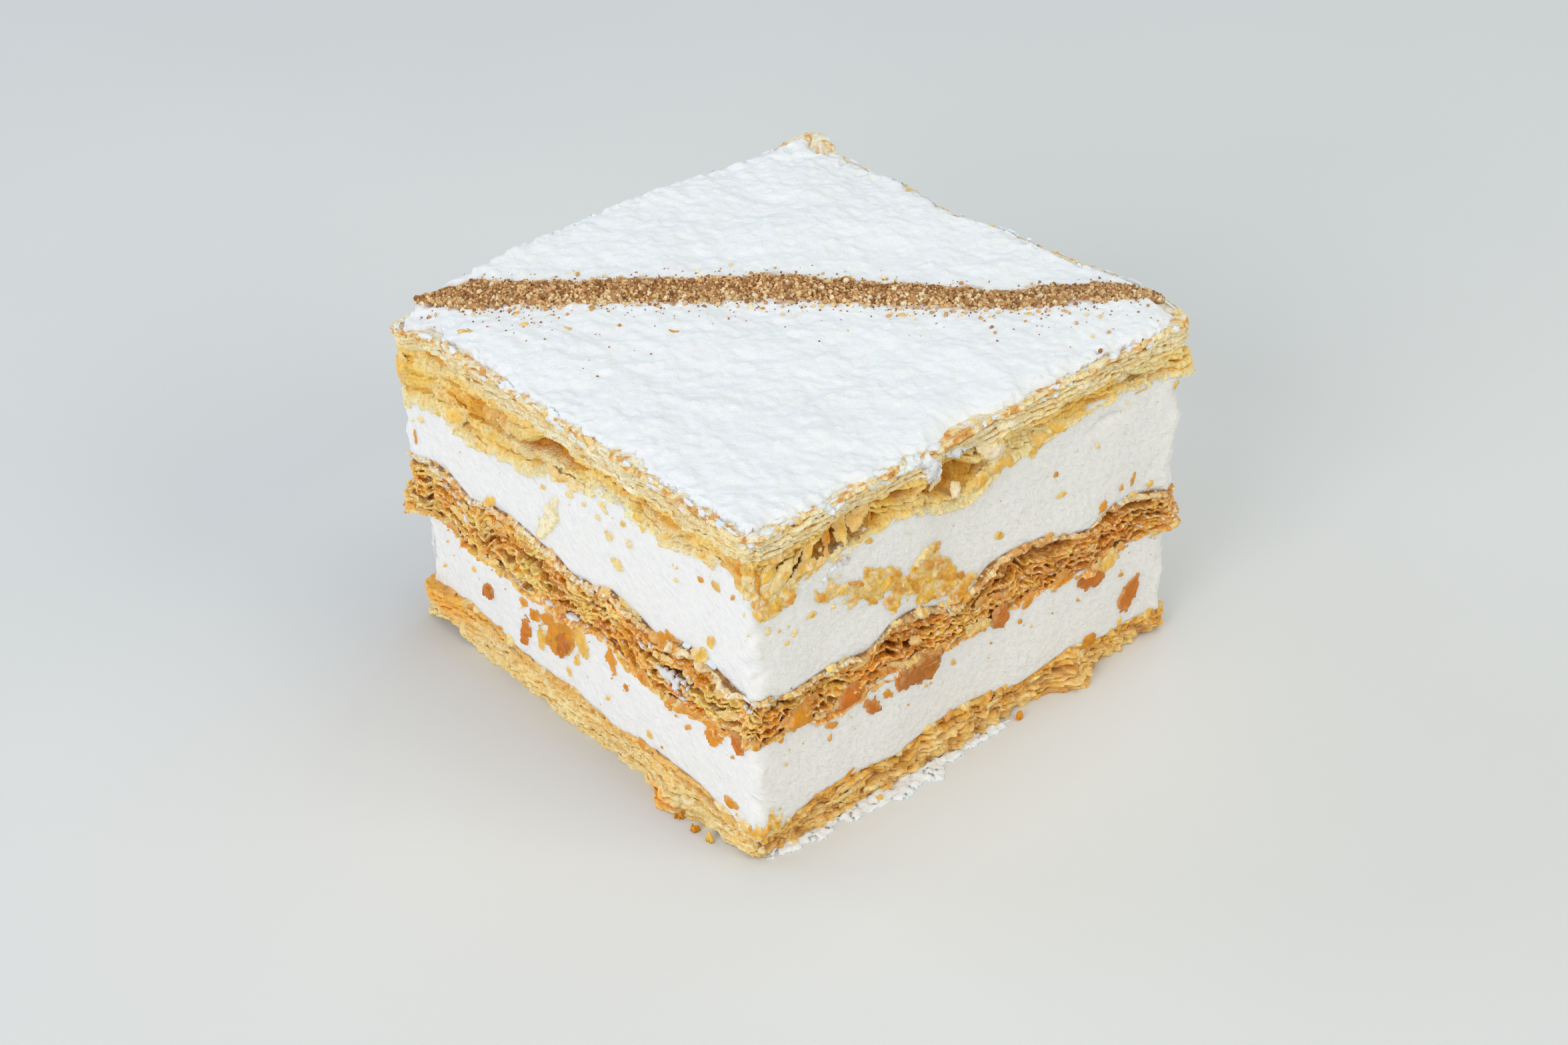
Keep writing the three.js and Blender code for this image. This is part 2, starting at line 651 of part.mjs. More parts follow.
function powderCoat() {
  const rimInset = (t) => (
    POWDER_RIM_INSET + POWDER_RIM_SWAY * ripple(t, 5.5, 501) + POWDER_RIM_TEAR * ripple(t, 2.6, 502)
  );
  const crustRim = crustFace(0)[0];
  const rimRing = (extraInset, thickness) => STATIONS.map((station, i) => {
    const inset = rimInset(station.t) + extraInset;
    const [outerX, outerY] = outPoint(station, 0, CRUST_Z);
    const share = inset / CRUST_RIM_INSET;
    const x = lerp(outerX, crustRim[i][0], share);
    const y = lerp(outerY, crustRim[i][1], share);
    const base = lerp(crustAt(outerX, outerY), crustRim[i][2], share) + POWDER_GAP;
    return [x, y, base + thickness];
  });
  const topRing = (step, share) => everyNth(step).map((station) => {
    const [edgeX, edgeY] = outPoint(station, -POWDER_EDGE_INSET, CRUST_Z);
    const x = edgeX * share;
    const y = edgeY * share;
    return [x, y, powderTopAt(x, y, POWDER_THICKNESS)];
  });
  return skin([
    ...crustFace(POWDER_GAP).reverse(),
    rimRing(0, 0),
    rimRing(0.1, POWDER_RIM_THICKNESS),
    ...POWDER_RINGS.map(([step, share]) => topRing(step, share)),
    [[0, 0, powderTopAt(0, 0, POWDER_THICKNESS)]],
  ]);
}

// Cinnamon sugar: a low heap of grains along a wandering path, cut to lie on the powder
function cinnamonLine(powder) {
  const path = new THREE.CatmullRomCurve3(LINE_PATH.map(([x, y]) => new THREE.Vector3(x, y, 0)));
  const steps = Math.round(path.getLength() / LINE_STEP);
  const sections = [];
  for (let i = 0; i <= steps; i += 1) {
    const u = i / steps;
    const at = path.getPointAt(u);
    const tangent = path.getTangentAt(u);
    const endTaper = Math.sqrt(clamp(Math.min(u, 1 - u) / LINE_TIP_SHARE, LINE_TIP_LEAST, 1));
    const spread = 1 + LINE_WAVER * Math.sin(u * 31) + LINE_FINE_WAVER * Math.sin(u * 73 + 2);
    const half = (LINE_WIDTH / 2) * spread * lerp(LINE_START_WIDTH, LINE_END_WIDTH, u) * endTaper;
    const section = [];
    for (let j = 0; j <= LINE_COLUMNS; j += 1) {
      const across = 2 * (j / LINE_COLUMNS) - 1;
      const edge = j === 0 || j === LINE_COLUMNS;
      const ragged = edge ? 1 + LINE_EDGE_TEAR * (hash(i * 3.7 + j) - 0.5) : 1;
      const x = at.x - tangent.y * half * across * ragged;
      const y = at.y + tangent.x * half * across * ragged;
      const grain = GRAIN_BUMP * (2 * hash(i * 13.7 + j * 5.3) - 1);
      const heap = (1 - across * across) * LINE_HEIGHT * endTaper + (edge ? LINE_EDGE : grain);
      section.push([x, y, powderTopAt(x, y, POWDER_THICKNESS) + heap]);
    }
    for (const [x, y] of [section[LINE_COLUMNS], section[0]]) {
      section.push([x, y, crustAt(x, y) + LINE_ROOT]);
    }
    sections.push(section.reverse());
  }
  const middleOf = (section) => [section.reduce(
    (sum, point) => sum.map((value, k) => value + point[k] / section.length),
    [0, 0, 0],
  )];
  const ridge = skin([middleOf(sections[0]), ...sections, middleOf(sections[steps])]);
  const lifted = toSolid(powder).scale([RIM_CLEARANCE, RIM_CLEARANCE, 1]).translate([0, 0, POWDER_GAP]);
  const rest = toSolid(ridge).subtract(lifted).decompose();
  const above = rest.filter((piece) => piece.volume() > 1 && piece.boundingBox().max[2] > CRUST_Z + 1);
  return toGeometry(above.reduce((best, piece) => (piece.volume() > best.volume() ? piece : best)));
}

const PASTRY_TOP = new THREE.MeshStandardMaterial({ color: 0xe3bd74, roughness: 0.7, metalness: 0 });
const PASTRY_MIDDLE = new THREE.MeshStandardMaterial({ color: 0xb87a38, roughness: 0.6, metalness: 0 });
const PASTRY_BOTTOM = new THREE.MeshStandardMaterial({ color: 0xcf9a4c, roughness: 0.7, metalness: 0 });
const UPPER_CREAM = new THREE.MeshStandardMaterial({ color: 0xf2f2f0, roughness: 0.5, metalness: 0 });
const LOWER_CREAM = new THREE.MeshStandardMaterial({ color: 0xf0f0ee, roughness: 0.5, metalness: 0 });
const POWDER = new THREE.MeshStandardMaterial({ color: 0xf6f7f9, roughness: 0.95, metalness: 0 });
const CINNAMON = new THREE.MeshStandardMaterial({ color: 0xb5895a, roughness: 0.85, metalness: 0 });

const powder = powderCoat();
const lowerCream = creamWithFlakes(BOTTOM_SHEET_TOP, MIDDLE_SHEET_UNDER, LOWER_CREAM_FLAKES, 31);
const upperCream = creamWithFlakes(MIDDLE_SHEET_TOP, UPPER_CREAM_TOP, UPPER_CREAM_FLAKES, 59);
const parts = [
  ['pastry_bottom', bottomSheet(), PASTRY_BOTTOM],
  ['cream_lower', lowerCream, LOWER_CREAM],
  ['pastry_middle', middleSheet(), PASTRY_MIDDLE],
  ['cream_upper', upperCream, UPPER_CREAM],
  ['pastry_top', topSheet(), PASTRY_TOP],
  ['powdered_sugar', powder, POWDER],
  ['cinnamon_sugar_line', cinnamonLine(powder), CINNAMON],
];

const group = new THREE.Group();
group.name = 'mille_feuille_slice';
for (const [name, geometry, material] of parts) {
  const mesh = new THREE.Mesh(geometry, material);
  mesh.name = name;
  group.add(mesh);
}

// The origin is the middle of the bounding box, on the table
const box = new THREE.Box3().setFromObject(group);
const middle = box.getCenter(new THREE.Vector3());
for (const mesh of group.children) {
  mesh.geometry.translate(-middle.x, -middle.y, 0);
  mesh.geometry.computeVertexNormals();
}

export default group;
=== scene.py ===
"""Mille feuille slice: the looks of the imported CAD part, in its frame (metres, +Z up).

Each CAD node is replaced by a detailed mesh of the same form: pastry sheets made of thin
torn leaves with air between them, soft cream walls, a powdery coat and a line of crystals.
Lengths in this file are millimetres unless a name says otherwise.
"""
import math

import bpy
import numpy as np
from mathutils import Matrix, Vector
from mathutils.bvhtree import BVHTree


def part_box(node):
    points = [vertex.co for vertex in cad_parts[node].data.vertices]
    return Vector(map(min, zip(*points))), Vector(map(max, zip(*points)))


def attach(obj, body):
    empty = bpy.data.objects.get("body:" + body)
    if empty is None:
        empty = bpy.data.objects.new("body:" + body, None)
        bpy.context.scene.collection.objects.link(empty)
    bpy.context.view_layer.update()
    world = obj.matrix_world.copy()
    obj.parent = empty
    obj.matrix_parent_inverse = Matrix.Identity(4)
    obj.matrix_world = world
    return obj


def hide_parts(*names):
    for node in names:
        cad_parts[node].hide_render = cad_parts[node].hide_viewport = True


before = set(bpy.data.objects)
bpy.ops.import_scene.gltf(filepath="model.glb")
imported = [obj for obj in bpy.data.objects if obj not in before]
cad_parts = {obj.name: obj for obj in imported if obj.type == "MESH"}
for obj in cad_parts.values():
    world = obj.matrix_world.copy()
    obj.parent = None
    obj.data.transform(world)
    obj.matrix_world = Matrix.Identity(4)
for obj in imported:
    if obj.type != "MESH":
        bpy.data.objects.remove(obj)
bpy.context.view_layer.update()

MM = 0.001

# ---------------------------------------------------------------- outline of the slice
WIDTH, DEPTH = 80.0, 83.0
CORNER = 2.2
PERIMETER = 2 * (WIDTH + DEPTH)
CORNER_PLACES = np.array([0.0, WIDTH, WIDTH + DEPTH, 2 * WIDTH + DEPTH])
SHIFT = np.array([-0.12, -0.52])   # the CAD puts the middle of its box at the origin
SHOWN_STEP = 0.22                  # spacing of stations on the front and right faces
HIDDEN_STEP = 0.6                  # and on the back and left ones
CREAM_STEP = 0.5                   # the same for the cream, which is smoother


def outline(t):
    """Point and outward normal on the rounded rectangle, at distances t along it."""
    t = np.mod(np.asarray(t, float), PERIMETER)
    lengths = np.array([WIDTH, DEPTH, WIDTH, DEPTH])
    origins = np.array([[-1, -1], [1, -1], [1, 1], [-1, 1]]) * [WIDTH / 2, DEPTH / 2]
    ways = np.array([[1, 0], [0, 1], [-1, 0], [0, -1]], float)
    outs = np.array([[0, -1], [1, 0], [0, 1], [-1, 0]], float)
    side = np.searchsorted(CORNER_PLACES, t, side="right") - 1
    s = t - CORNER_PLACES[side]
    point = origins[side] + ways[side] * s[..., None]
    normal = outs[side].copy()
    for at_end in (False, True):
        length = lengths[side]
        near = (length - s < CORNER) if at_end else (s < CORNER)
        share = np.where(at_end, (s - length + CORNER), (s + CORNER)) / (2 * CORNER)
        turn = share * math.pi / 2
        if at_end:
            before, along = outs[side], ways[side]
            corner = origins[side] + ways[side] * length[..., None]
        else:
            before, along = outs[side - 1], ways[side - 1]
            corner = origins[side]
        centre = corner - before * CORNER - along * CORNER
        turned = before * np.cos(turn)[..., None] + along * np.sin(turn)[..., None]
        point = np.where(near[..., None], centre + turned * CORNER, point)
        normal = np.where(near[..., None], turned, normal)
    return point + SHIFT, normal


def wrapped(t, at):
    """Signed distance along the closed outline."""
    return np.mod(t - at + PERIMETER / 2, PERIMETER) - PERIMETER / 2


def bell(distance, reach):
    return np.clip(1 - (distance / reach) ** 2, 0, 1) ** 2


def eased(share):
    return share * share * (3 - 2 * share)


def smoothstep(low, high, value):
    return eased(np.clip((value - low) / (high - low), 0, 1))


def mix(a, b, share):
    return a + (b - a) * share


def blend(base, tone, share):
    """Mixes a tone into colours, by a share for each of them."""
    return mix(base, tone, np.asarray(share)[..., None])


# ---------------------------------------------------------------- noise
NOISE_CELLS = 128                  # the plane noise repeats after so many lumps


def bilinear(grid, i, j, next_i, next_j, across, along):
    """Values between the points of a grid, by the shares across and along its cells."""
    low, high = mix(grid[i, j], grid[next_i, j], across), mix(grid[i, next_j], grid[next_i, next_j], across)
    return mix(low, high, along)


def ripple(t, wavelength, seed):
    """Smooth noise in -1..1 along the closed outline."""
    count = max(4, int(round(PERIMETER / wavelength)))
    table = np.random.default_rng(seed).uniform(-1, 1, count)
    place = np.mod(t / PERIMETER, 1) * count
    low = np.floor(place).astype(int)
    return mix(table[low % count], table[(low + 1) % count], eased(place - low))


def torn(t, spacing, seed):
    """Broken-edge noise: runs of slanted pieces of uneven length, with steps between."""
    count = max(4, int(round(PERIMETER / spacing)))
    rng = np.random.default_rng(seed)
    breaks = (np.arange(count) + rng.uniform(-0.42, 0.42, count)) * PERIMETER / count
    level = rng.uniform(-1, 1, count)
    slope = rng.uniform(-0.5, 0.5, count) / spacing
    place = np.mod(t, PERIMETER)
    piece = np.searchsorted(breaks, place) - 1
    return np.clip(level[piece] + slope[piece] * wrapped(place, breaks[piece]), -1.2, 1.2)


def pores(t, spacing, seed, filled):
    """Lens-shaped pores of uneven length along the outline, 0 where closed and 1 where widest."""
    count = max(4, int(round(PERIMETER / spacing)))
    rng = np.random.default_rng(seed)
    breaks = np.sort((np.arange(count) + rng.uniform(-0.36, 0.36, count)) * PERIMETER / count)
    widths = np.diff(np.append(breaks, breaks[0] + PERIMETER))
    level = rng.uniform(0.45, 1.0, count) * (rng.random(count) < filled)
    place = np.mod(t, PERIMETER)
    pore = np.searchsorted(breaks, place) - 1
    share = np.mod(place - breaks[pore], PERIMETER) / widths[pore]
    return level[pore] * np.sqrt(np.clip(1 - (2 * share - 1) ** 2, 0, 1)) ** 0.8


def plane_noise(x, y, size, seed):
    """Smooth noise in -1..1 over a plane; size is the width of its lumps."""
    table = np.random.default_rng(seed).uniform(-1, 1, (NOISE_CELLS, NOISE_CELLS))
    u, v = np.asarray(x) / size, np.asarray(y) / size
    i, j = np.floor(u).astype(int), np.floor(v).astype(int)
    cells = [place % NOISE_CELLS for place in (i, j, i + 1, j + 1)]
    return bilinear(table, *cells, eased(u - i), eased(v - j))


def cloud(x, y, size, seed, octaves=3):
    """Plane noise in several octaves, each turned, half as wide and half as strong as the one before."""
    total, weight = 0.0, 1.0
    for octave in range(octaves):
        turn = 0.6 + 1.3 * octave
        c, s = math.cos(turn), math.sin(turn)
        total = total + weight * plane_noise(c * x - s * y, s * x + c * y, size / 2 ** octave, seed + octave)
        weight *= 0.5
    return total


# ---------------------------------------------------------------- reading the CAD solids
SAMPLES = np.arange(0, PERIMETER, 1.0)
OVER, UNDER = 100.0, -20.0         # plumb lines start at these heights
RAY_START, RAY_LENGTH = 12.0, 19.0   # level rays start this far out of the outline


class Solid:
    """A CAD node that can be measured with straight rays."""

    def __init__(self, name):
        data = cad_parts[name].data
        self.tree = BVHTree.FromPolygons([v.co.copy() for v in data.vertices],
                                         [tuple(p.vertices) for p in data.polygons])
        low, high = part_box(name)
        self.low, self.high = low.z / MM, high.z / MM

    def face_height(self, x, y, from_above):
        """Height where a plumb line through each (x, y) first meets the solid."""
        start, way = (OVER, -1) if from_above else (UNDER, 1)
        out = np.full(np.shape(x), np.nan)
        for i, (px, py) in enumerate(zip(np.ravel(x), np.ravel(y))):
            hit = self.tree.ray_cast(Vector((px * MM, py * MM, start * MM)), Vector((0, 0, way)))
            if hit[0] is not None:
                out.flat[i] = hit[0].z / MM
        return out

    def reach(self, t, z):
        """How far the solid's side stands out of the plain outline, for a grid of t, z."""
        point, normal = outline(t)
        out = np.full((len(t), len(z)), np.nan)
        for i in range(len(t)):
            way = Vector((-normal[i, 0], -normal[i, 1], 0))
            for j, height in enumerate(z):
                start = Vector((*((point[i] + normal[i] * RAY_START) * MM), height * MM))
                hit = self.tree.ray_cast(start, way, RAY_LENGTH * MM)
                if hit[0] is not None:
                    out[i, j] = RAY_START - hit[3] / MM
        return out


def fill_rows(grid):
    """Gaps in each row take the nearest value of that row."""
    for row in grid:
        known = np.flatnonzero(~np.isnan(row))
        if len(known):
            row[:] = np.interp(np.arange(len(row)), known, row[known])
    return np.nan_to_num(grid)


def soften(values, width):
    """Moving average round the closed outline, for samples 1 mm apart."""
    reach = int(math.ceil(width * 2))
    weights = np.exp(-0.5 * (np.arange(-reach, reach + 1) / width) ** 2)
    total = sum(w * np.roll(values, k, axis=0) for k, w in zip(range(-reach, reach + 1), weights))
    return total / weights.sum()


def along_outline(samples, t):
    return np.interp(np.mod(t, PERIMETER), np.append(SAMPLES, PERIMETER), np.append(samples, samples[0]))


def without_spikes(values, reach=4, most=0.8):
    """Samples far from the median of their neighbours take that median."""
    middle = np.median([np.roll(values, k) for k in range(-reach, reach + 1)], axis=0)
    return np.where(np.abs(values - middle) > most, middle, values)


def without_drops(grid, most=0.4):
    """Limits how fast the reach falls from one row to the next, where rays passed over the solid."""
    rows = range(1, grid.shape[1])
    for j in rows:
        grid[:, j] = np.maximum(grid[:, j], grid[:, j - 1] - most)
    for j in reversed(rows):
        grid[:, j - 1] = np.maximum(grid[:, j - 1], grid[:, j] - most)
    return grid


class ReachMap:
    """Side relief of a pastry solid, read once and looked up for any t and z."""

    def __init__(self, solid, step=0.5):
        self.z0, self.step = solid.low, step
        self.z = np.arange(solid.low + 0.1, solid.high, step)
        self.grid = soften(without_drops(fill_rows(solid.reach(SAMPLES, self.z))), 0.7)

    def __call__(self, t, z):
        place = np.mod(t, PERIMETER)
        row = np.clip((z - self.z0 - 0.1) / self.step, 0, len(self.z) - 1.001)
        i, j = np.floor(place).astype(int), np.floor(row).astype(int)
        share = place - i
        i = i % len(SAMPLES)
        return bilinear(self.grid, i, j, (i + 1) % len(SAMPLES), j + 1, share, row - j)


TOP, MIDDLE, BOTTOM = Solid("pastry_top"), Solid("pastry_middle"), Solid("pastry_bottom")
UPPER, LOWER = Solid("cream_upper"), Solid("cream_lower")


def ring_points(t, out):
    """Points at distances t along the outline, and this far out of it."""
    point, normal = outline(t)
    return point + normal * np.asarray(out)[..., None]


def interface(solid, from_above, inset=2.6, reach=4):
    """Height of a solid's upper or lower face, just inside the edge, for every sample."""
    x, y = ring_points(SAMPLES, np.full(len(SAMPLES), -inset)).T
    return soften(without_spikes(fill_rows(solid.face_height(x, y, from_above)[None])[0], reach), 0.6)


UPPER_TOP, UPPER_LOW = interface(UPPER, True), interface(UPPER, False)
LOWER_TOP, LOWER_LOW = interface(LOWER, True, 4.4), interface(LOWER, False, 4.4)
CRUST = interface(TOP, True, 0.9, 9)


def wall_reach(solid, low, high):
    """Plain reach of a cream wall, without the flakes stuck to it."""
    rows = []
    for share in np.linspace(0.12, 0.88, 7):
        z = mix(low, high, share)
        rows.append([solid.reach(SAMPLES[i:i + 1], z[i:i + 1])[0, 0] for i in range(len(SAMPLES))])
    return soften(np.nanpercentile(np.array(rows), 35, axis=0), 2.0)


UPPER_WALL = wall_reach(UPPER, UPPER_LOW, UPPER_TOP)
LOWER_WALL = wall_reach(LOWER, LOWER_LOW, LOWER_TOP)
CREAM_SWELL = 0.45                 # the cream is softer and fuller than its solid


def stations(shown_step, hidden_step):
    """Distances along the outline, closer on the two sides that the photo shows."""
    shown = WIDTH + DEPTH
    return np.concatenate([np.arange(0, shown, shown_step), np.arange(shown, PERIMETER, hidden_step)])


T = stations(SHOWN_STEP, HIDDEN_STEP)
BASE, NORMAL = outline(T)
NEAR_CORNER = sum(bell(wrapped(T, place), 4.5) for place in CORNER_PLACES)
RIGHT = smoothstep(79, 83, T) * (1 - smoothstep(163, 170, T))


# ---------------------------------------------------------------- mesh helpers
def colour(r, g, b):
    """A colour as seen on screen, 0 to 255, as scene-linear light."""
    c = np.array([r, g, b], float) / 255
    return np.where(c <= 0.04045, c / 12.92, ((c + 0.055) / 1.055) ** 2.4)


def build(name, points, faces, tint=None, replaces=(), sharp=None, flat=False):
    mesh = bpy.data.meshes.new(name)
    mesh.from_pydata((np.asarray(points) * MM).tolist(), [], [tuple(f) for f in faces])
    if tint is not None:
        layer = mesh.color_attributes.new("tint", "FLOAT_COLOR", "POINT")
        rgba = np.ones((len(points), 4), np.float32)
        rgba[:, :3] = np.clip(tint, 0, 1)
        layer.data.foreach_set("color", rgba.ravel())
    mesh.polygons.foreach_set("use_smooth", [not flat] * len(mesh.polygons))
    if sharp is not None:
        mesh.set_sharp_from_angle(angle=math.radians(sharp))
    mesh.update()
    piece = bpy.data.objects.new(name, mesh)
    bpy.context.scene.collection.objects.link(piece)
    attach(piece, "root")
    if replaces:
        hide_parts(*replaces)


def closed_tube(rings, low_pole, high_pole):
    """Points and faces of successive rings of equal count, closed at a pole under and over them."""
    count, total = len(rings[0]), len(rings) * len(rings[0])
    i = np.arange(count)
    j = (i + 1) % count
    walls = [np.stack([a + i, a + j, a + count + j, a + count + i], 1)
             for a in range(0, total - count, count)]
    under = np.stack([j, i, np.full(count, total)], 1)
    over = np.stack([total - count + i, total - count + j, np.full(count, total + 1)], 1)
    points = np.concatenate([*rings, [[*SHIFT, low_pole], [*SHIFT, high_pole]]])
    return points, np.concatenate(walls).tolist() + under.tolist() + over.tolist()


class Scatter:
    """Many small closed meshes joined into one."""

    def __init__(self):
        self.points, self.faces, self.tints, self.total = [], [], [], 0

    def add(self, points, faces, tint):
        self.points.append(points)
        self.faces.append(np.asarray(faces) + self.total)
        self.tints.append(np.broadcast_to(tint, (len(points), 3)))
        self.total += len(points)

    def build(self, name, slot):
        faces = [tuple(f) for block in self.faces for f in block]
        build(name, np.concatenate(self.points), faces, np.concatenate(self.tints))


# ---------------------------------------------------------------- upper faces
def smooth_grid(grid, times):
    for _ in range(times):
        padded = np.pad(grid, 1, mode="edge")
        grid = (padded[:-2, 1:-1] + padded[2:, 1:-1] + padded[1:-1, :-2] + padded[1:-1, 2:] + 2 * grid) / 6
    return grid


class HeightField:
    """Smooth map of a solid's upper face."""

    def __init__(self, solid, step=2.0, passes=3):
        self.step = step
        self.x = np.arange(-46, 46.1, step)
        self.y = np.arange(-48, 48.1, step)
        gx, gy = np.meshgrid(self.x, self.y, indexing="ij")
        grid = solid.face_height(gx, gy, True)
        known = ~np.isnan(grid)
        filled = np.where(known, grid, np.nanmean(grid))
        for _ in range(40):
            filled = np.where(known, grid, smooth_grid(filled, 1))
        self.grid = smooth_grid(filled, passes)

    def __call__(self, x, y):
        u = np.clip((x - self.x[0]) / self.step, 0, len(self.x) - 1.001)
        v = np.clip((y - self.y[0]) / self.step, 0, len(self.y) - 1.001)
        i, j = np.floor(u).astype(int), np.floor(v).astype(int)
        return bilinear(self.grid, i, j, i + 1, j + 1, u - i, v - j)


CRUST_TOP = HeightField(TOP)
TOP_RELIEF, MIDDLE_RELIEF, BOTTOM_RELIEF = ReachMap(TOP), ReachMap(MIDDLE), ReachMap(BOTTOM)


# ---------------------------------------------------------------- cream walls
CRESCENT = dict(at=WIDTH + 68, half=5.2, z=44.4, sag=1.6, depth=0.85)
CREASES = ((78.6, 33.4, 0.9), (80.6, 31.2, 0.5), (79.2, 11.6, 0.6))   # nicks of the near edge
DRAG = math.radians(-42)           # the knife dragged the cream this way along the faces


def cream_out(node, t, z):
    """How far the cream wall stands out of the plain outline."""
    samples, seed = (UPPER_WALL, 201) if node == "cream_upper" else (LOWER_WALL, 231)
    along = (t * math.cos(DRAG) + z * math.sin(DRAG)) * 0.16
    across = -t * math.sin(DRAG) + z * math.cos(DRAG)
    front = 1 - smoothstep(WIDTH - 2, WIDTH, np.mod(t, PERIMETER))
    out = along_outline(samples, t) + CREAM_SWELL
    out = out + 0.26 * cloud(t, z, 13, seed, 2)
    out = out + (0.05 + 0.08 * front) * cloud(along, across, 1.1, seed + 5, 2)
    corner = sum(bell(wrapped(t, place), 3.2) for place in CORNER_PLACES)
    out = out + corner * (0.6 * cloud(0.4 * t, z, 3.0, seed + 9, 3) + 0.12)
    if node == "cream_upper":
        arc = (t - CRESCENT["at"]) / CRESCENT["half"]
        rim = CRESCENT["z"] - CRESCENT["sag"] * arc ** 2
        dent = np.exp(-((z - rim + 0.35) / 0.45) ** 2) * np.clip(1 - arc ** 2, 0, 1)
        out = out - CRESCENT["depth"] * dent
        for at, height, deep in CREASES:
            nick = np.exp(-((z - height - 0.2 * (t - at)) / 0.55) ** 2)
            out = out - deep * bell(wrapped(t, at), 3.0) * nick
    return out


# ---------------------------------------------------------------- pastry sheets
BACK_LOW, EDGE_LOW, EDGE_MID, EDGE_HIGH, BACK_HIGH, CAP = range(6)   # where a ring of points runs on a leaf
GAP_RINGS = (BACK_LOW, BACK_HIGH)
CAP_INSETS = (0.45, 0.8, 1.2, 1.6, 2.1, 2.5)
CAP_RINGS = (0.89, 0.78, 0.55, 0.3)
INNER = -9.0                       # where the underside of a sheet begins, in from the outline


def palette(*colours):
    return [colour(*c) for c in colours]


def folds(z):
    """Upright folds of the thin leaves inside the hollows, -1 to 1."""
    return 1 - 4 * np.abs(plane_noise(T, z * 0.25, 2.0, 1045))


def droops(rows):
    """How far the lowest leaf hangs on the cream, from rows of place, reach and drop."""
    return sum(drop * bell(wrapped(T, at), reach) for at, reach, drop in rows)


def filled_by(stack):
    """Height of the leaves and the gaps over them, before they are scaled to fit their zone."""
    return sum(leaf["thick"] for leaf in stack) + sum(leaf["gap"] for leaf in stack)


def stacked_leaves(low, high, zones, pockets, seed):
    """The leaves of a sheet from the lowest up, with the gap over each: how deep it is and how it slopes."""
    leaves, floor = [], low
    for number, zone in enumerate(zones):
        ceiling = high if zone["top"] is None else np.maximum(zone["top"], floor + 0.12 * zone["leaves"])
        ceiling = np.minimum(ceiling, high)
        stack = []
        for k in range(zone["leaves"]):
            key = seed + 100 * number + 7 * k
            raw = 0.65 * ripple(T, zone["wave"], key + 2) + 0.35 * ripple(T, zone["wave"] * 0.45, key + 3)
            slits = np.clip((raw - zone["shut"]) / (1 - zone["shut"]), 0, 1)
            holes = pores(T, zone["pore"], key + 4, zone["filled"])
            holes = holes * smoothstep(-0.7, 0.3, ripple(T, 11, key + 5))
            opened = np.maximum(slits, holes)
            crack = smoothstep(-0.5, 0.4, ripple(T, 3.4, key + 6))
            stack.append(dict(
                number=number, zone=zone, key=key, slope=0.0, gap=zone["gap"] * opened + 0.02,
                thick=zone["thick"] * (1 + 0.3 * ripple(T, 9, key) + 0.25 * ripple(T, 2.7, key + 1)),
                deep=zone["groove"] * (0.25 + 0.75 * crack) + zone["deep"] * np.sqrt(opened)))
        for k, at, reach, tall, deep, slope in (pockets if number == 0 else ()):
            share = bell(wrapped(T, at), reach) ** 0.6
            wanted = np.minimum(tall * share / np.maximum(ceiling - floor, 0.5), 0.7)
            stack[k]["gap"] = stack[k]["gap"] + filled_by(stack) * wanted / (1 - wanted)
            stack[k]["deep"] = stack[k]["deep"] + deep * share
            stack[k]["slope"] = stack[k]["slope"] + slope * share
        scale = (ceiling - floor) / filled_by(stack)
        z = floor
        for leaf in stack:
            leaf["low"], leaf["high"] = z, z + leaf["thick"] * scale
            leaf["slope"] = np.minimum(leaf["slope"], 0.6 * leaf["gap"] * scale)
            z = leaf["high"] + leaf["gap"] * scale
        leaves += stack
        floor = ceiling
    leaves[-1]["high"] = high
    return leaves


def shape_edges(leaves, low, high, relief, droop, droop_wall, seed):
    """Where each leaf ends, and how it warps and curls; the lowest hangs on the cream below."""
    for leaf in leaves:
        zone, key = leaf["zone"], leaf["key"] + 50
        middle = (leaf["low"] + leaf["high"]) / 2
        inner = smoothstep(0, 0.12, (middle - low) / (high - low))
        inner = inner * smoothstep(0, 0.12, (high - middle) / (high - low))
        leaf["warp"] = zone["warp"] * inner * (plane_noise(T, middle * 1.6, 4.5, seed + 41)
                                               + 0.4 * plane_noise(T, middle * 1.6, 1.6, seed + 42))
        jag = (0.45 * torn(T, 2.3, key) + 0.35 * torn(T, 0.8, key + 1) + 0.3 * ripple(T, 4, key + 2)
               + 0.15 * ripple(T, 0.5, key + 3))
        leaf["edge"] = relief(T, middle) + zone["lead"] + zone["jag"] * jag
        curl = 0.6 * ripple(T, 4.2, key + 4) + 0.4 * torn(T, 2.3, key + 5)
        leaf["curl"] = leaf["warp"] + zone["curl"] * curl
    first = leaves[0]
    first["curl"] = first["curl"] * 0.3 - droop
    over_wall = droop_wall + 0.22 + 0.08 * ripple(T, 2, seed + 9)
    first["edge"] = np.maximum(first["edge"], over_wall) + 0.1 * smoothstep(0.25, 1.2, droop)


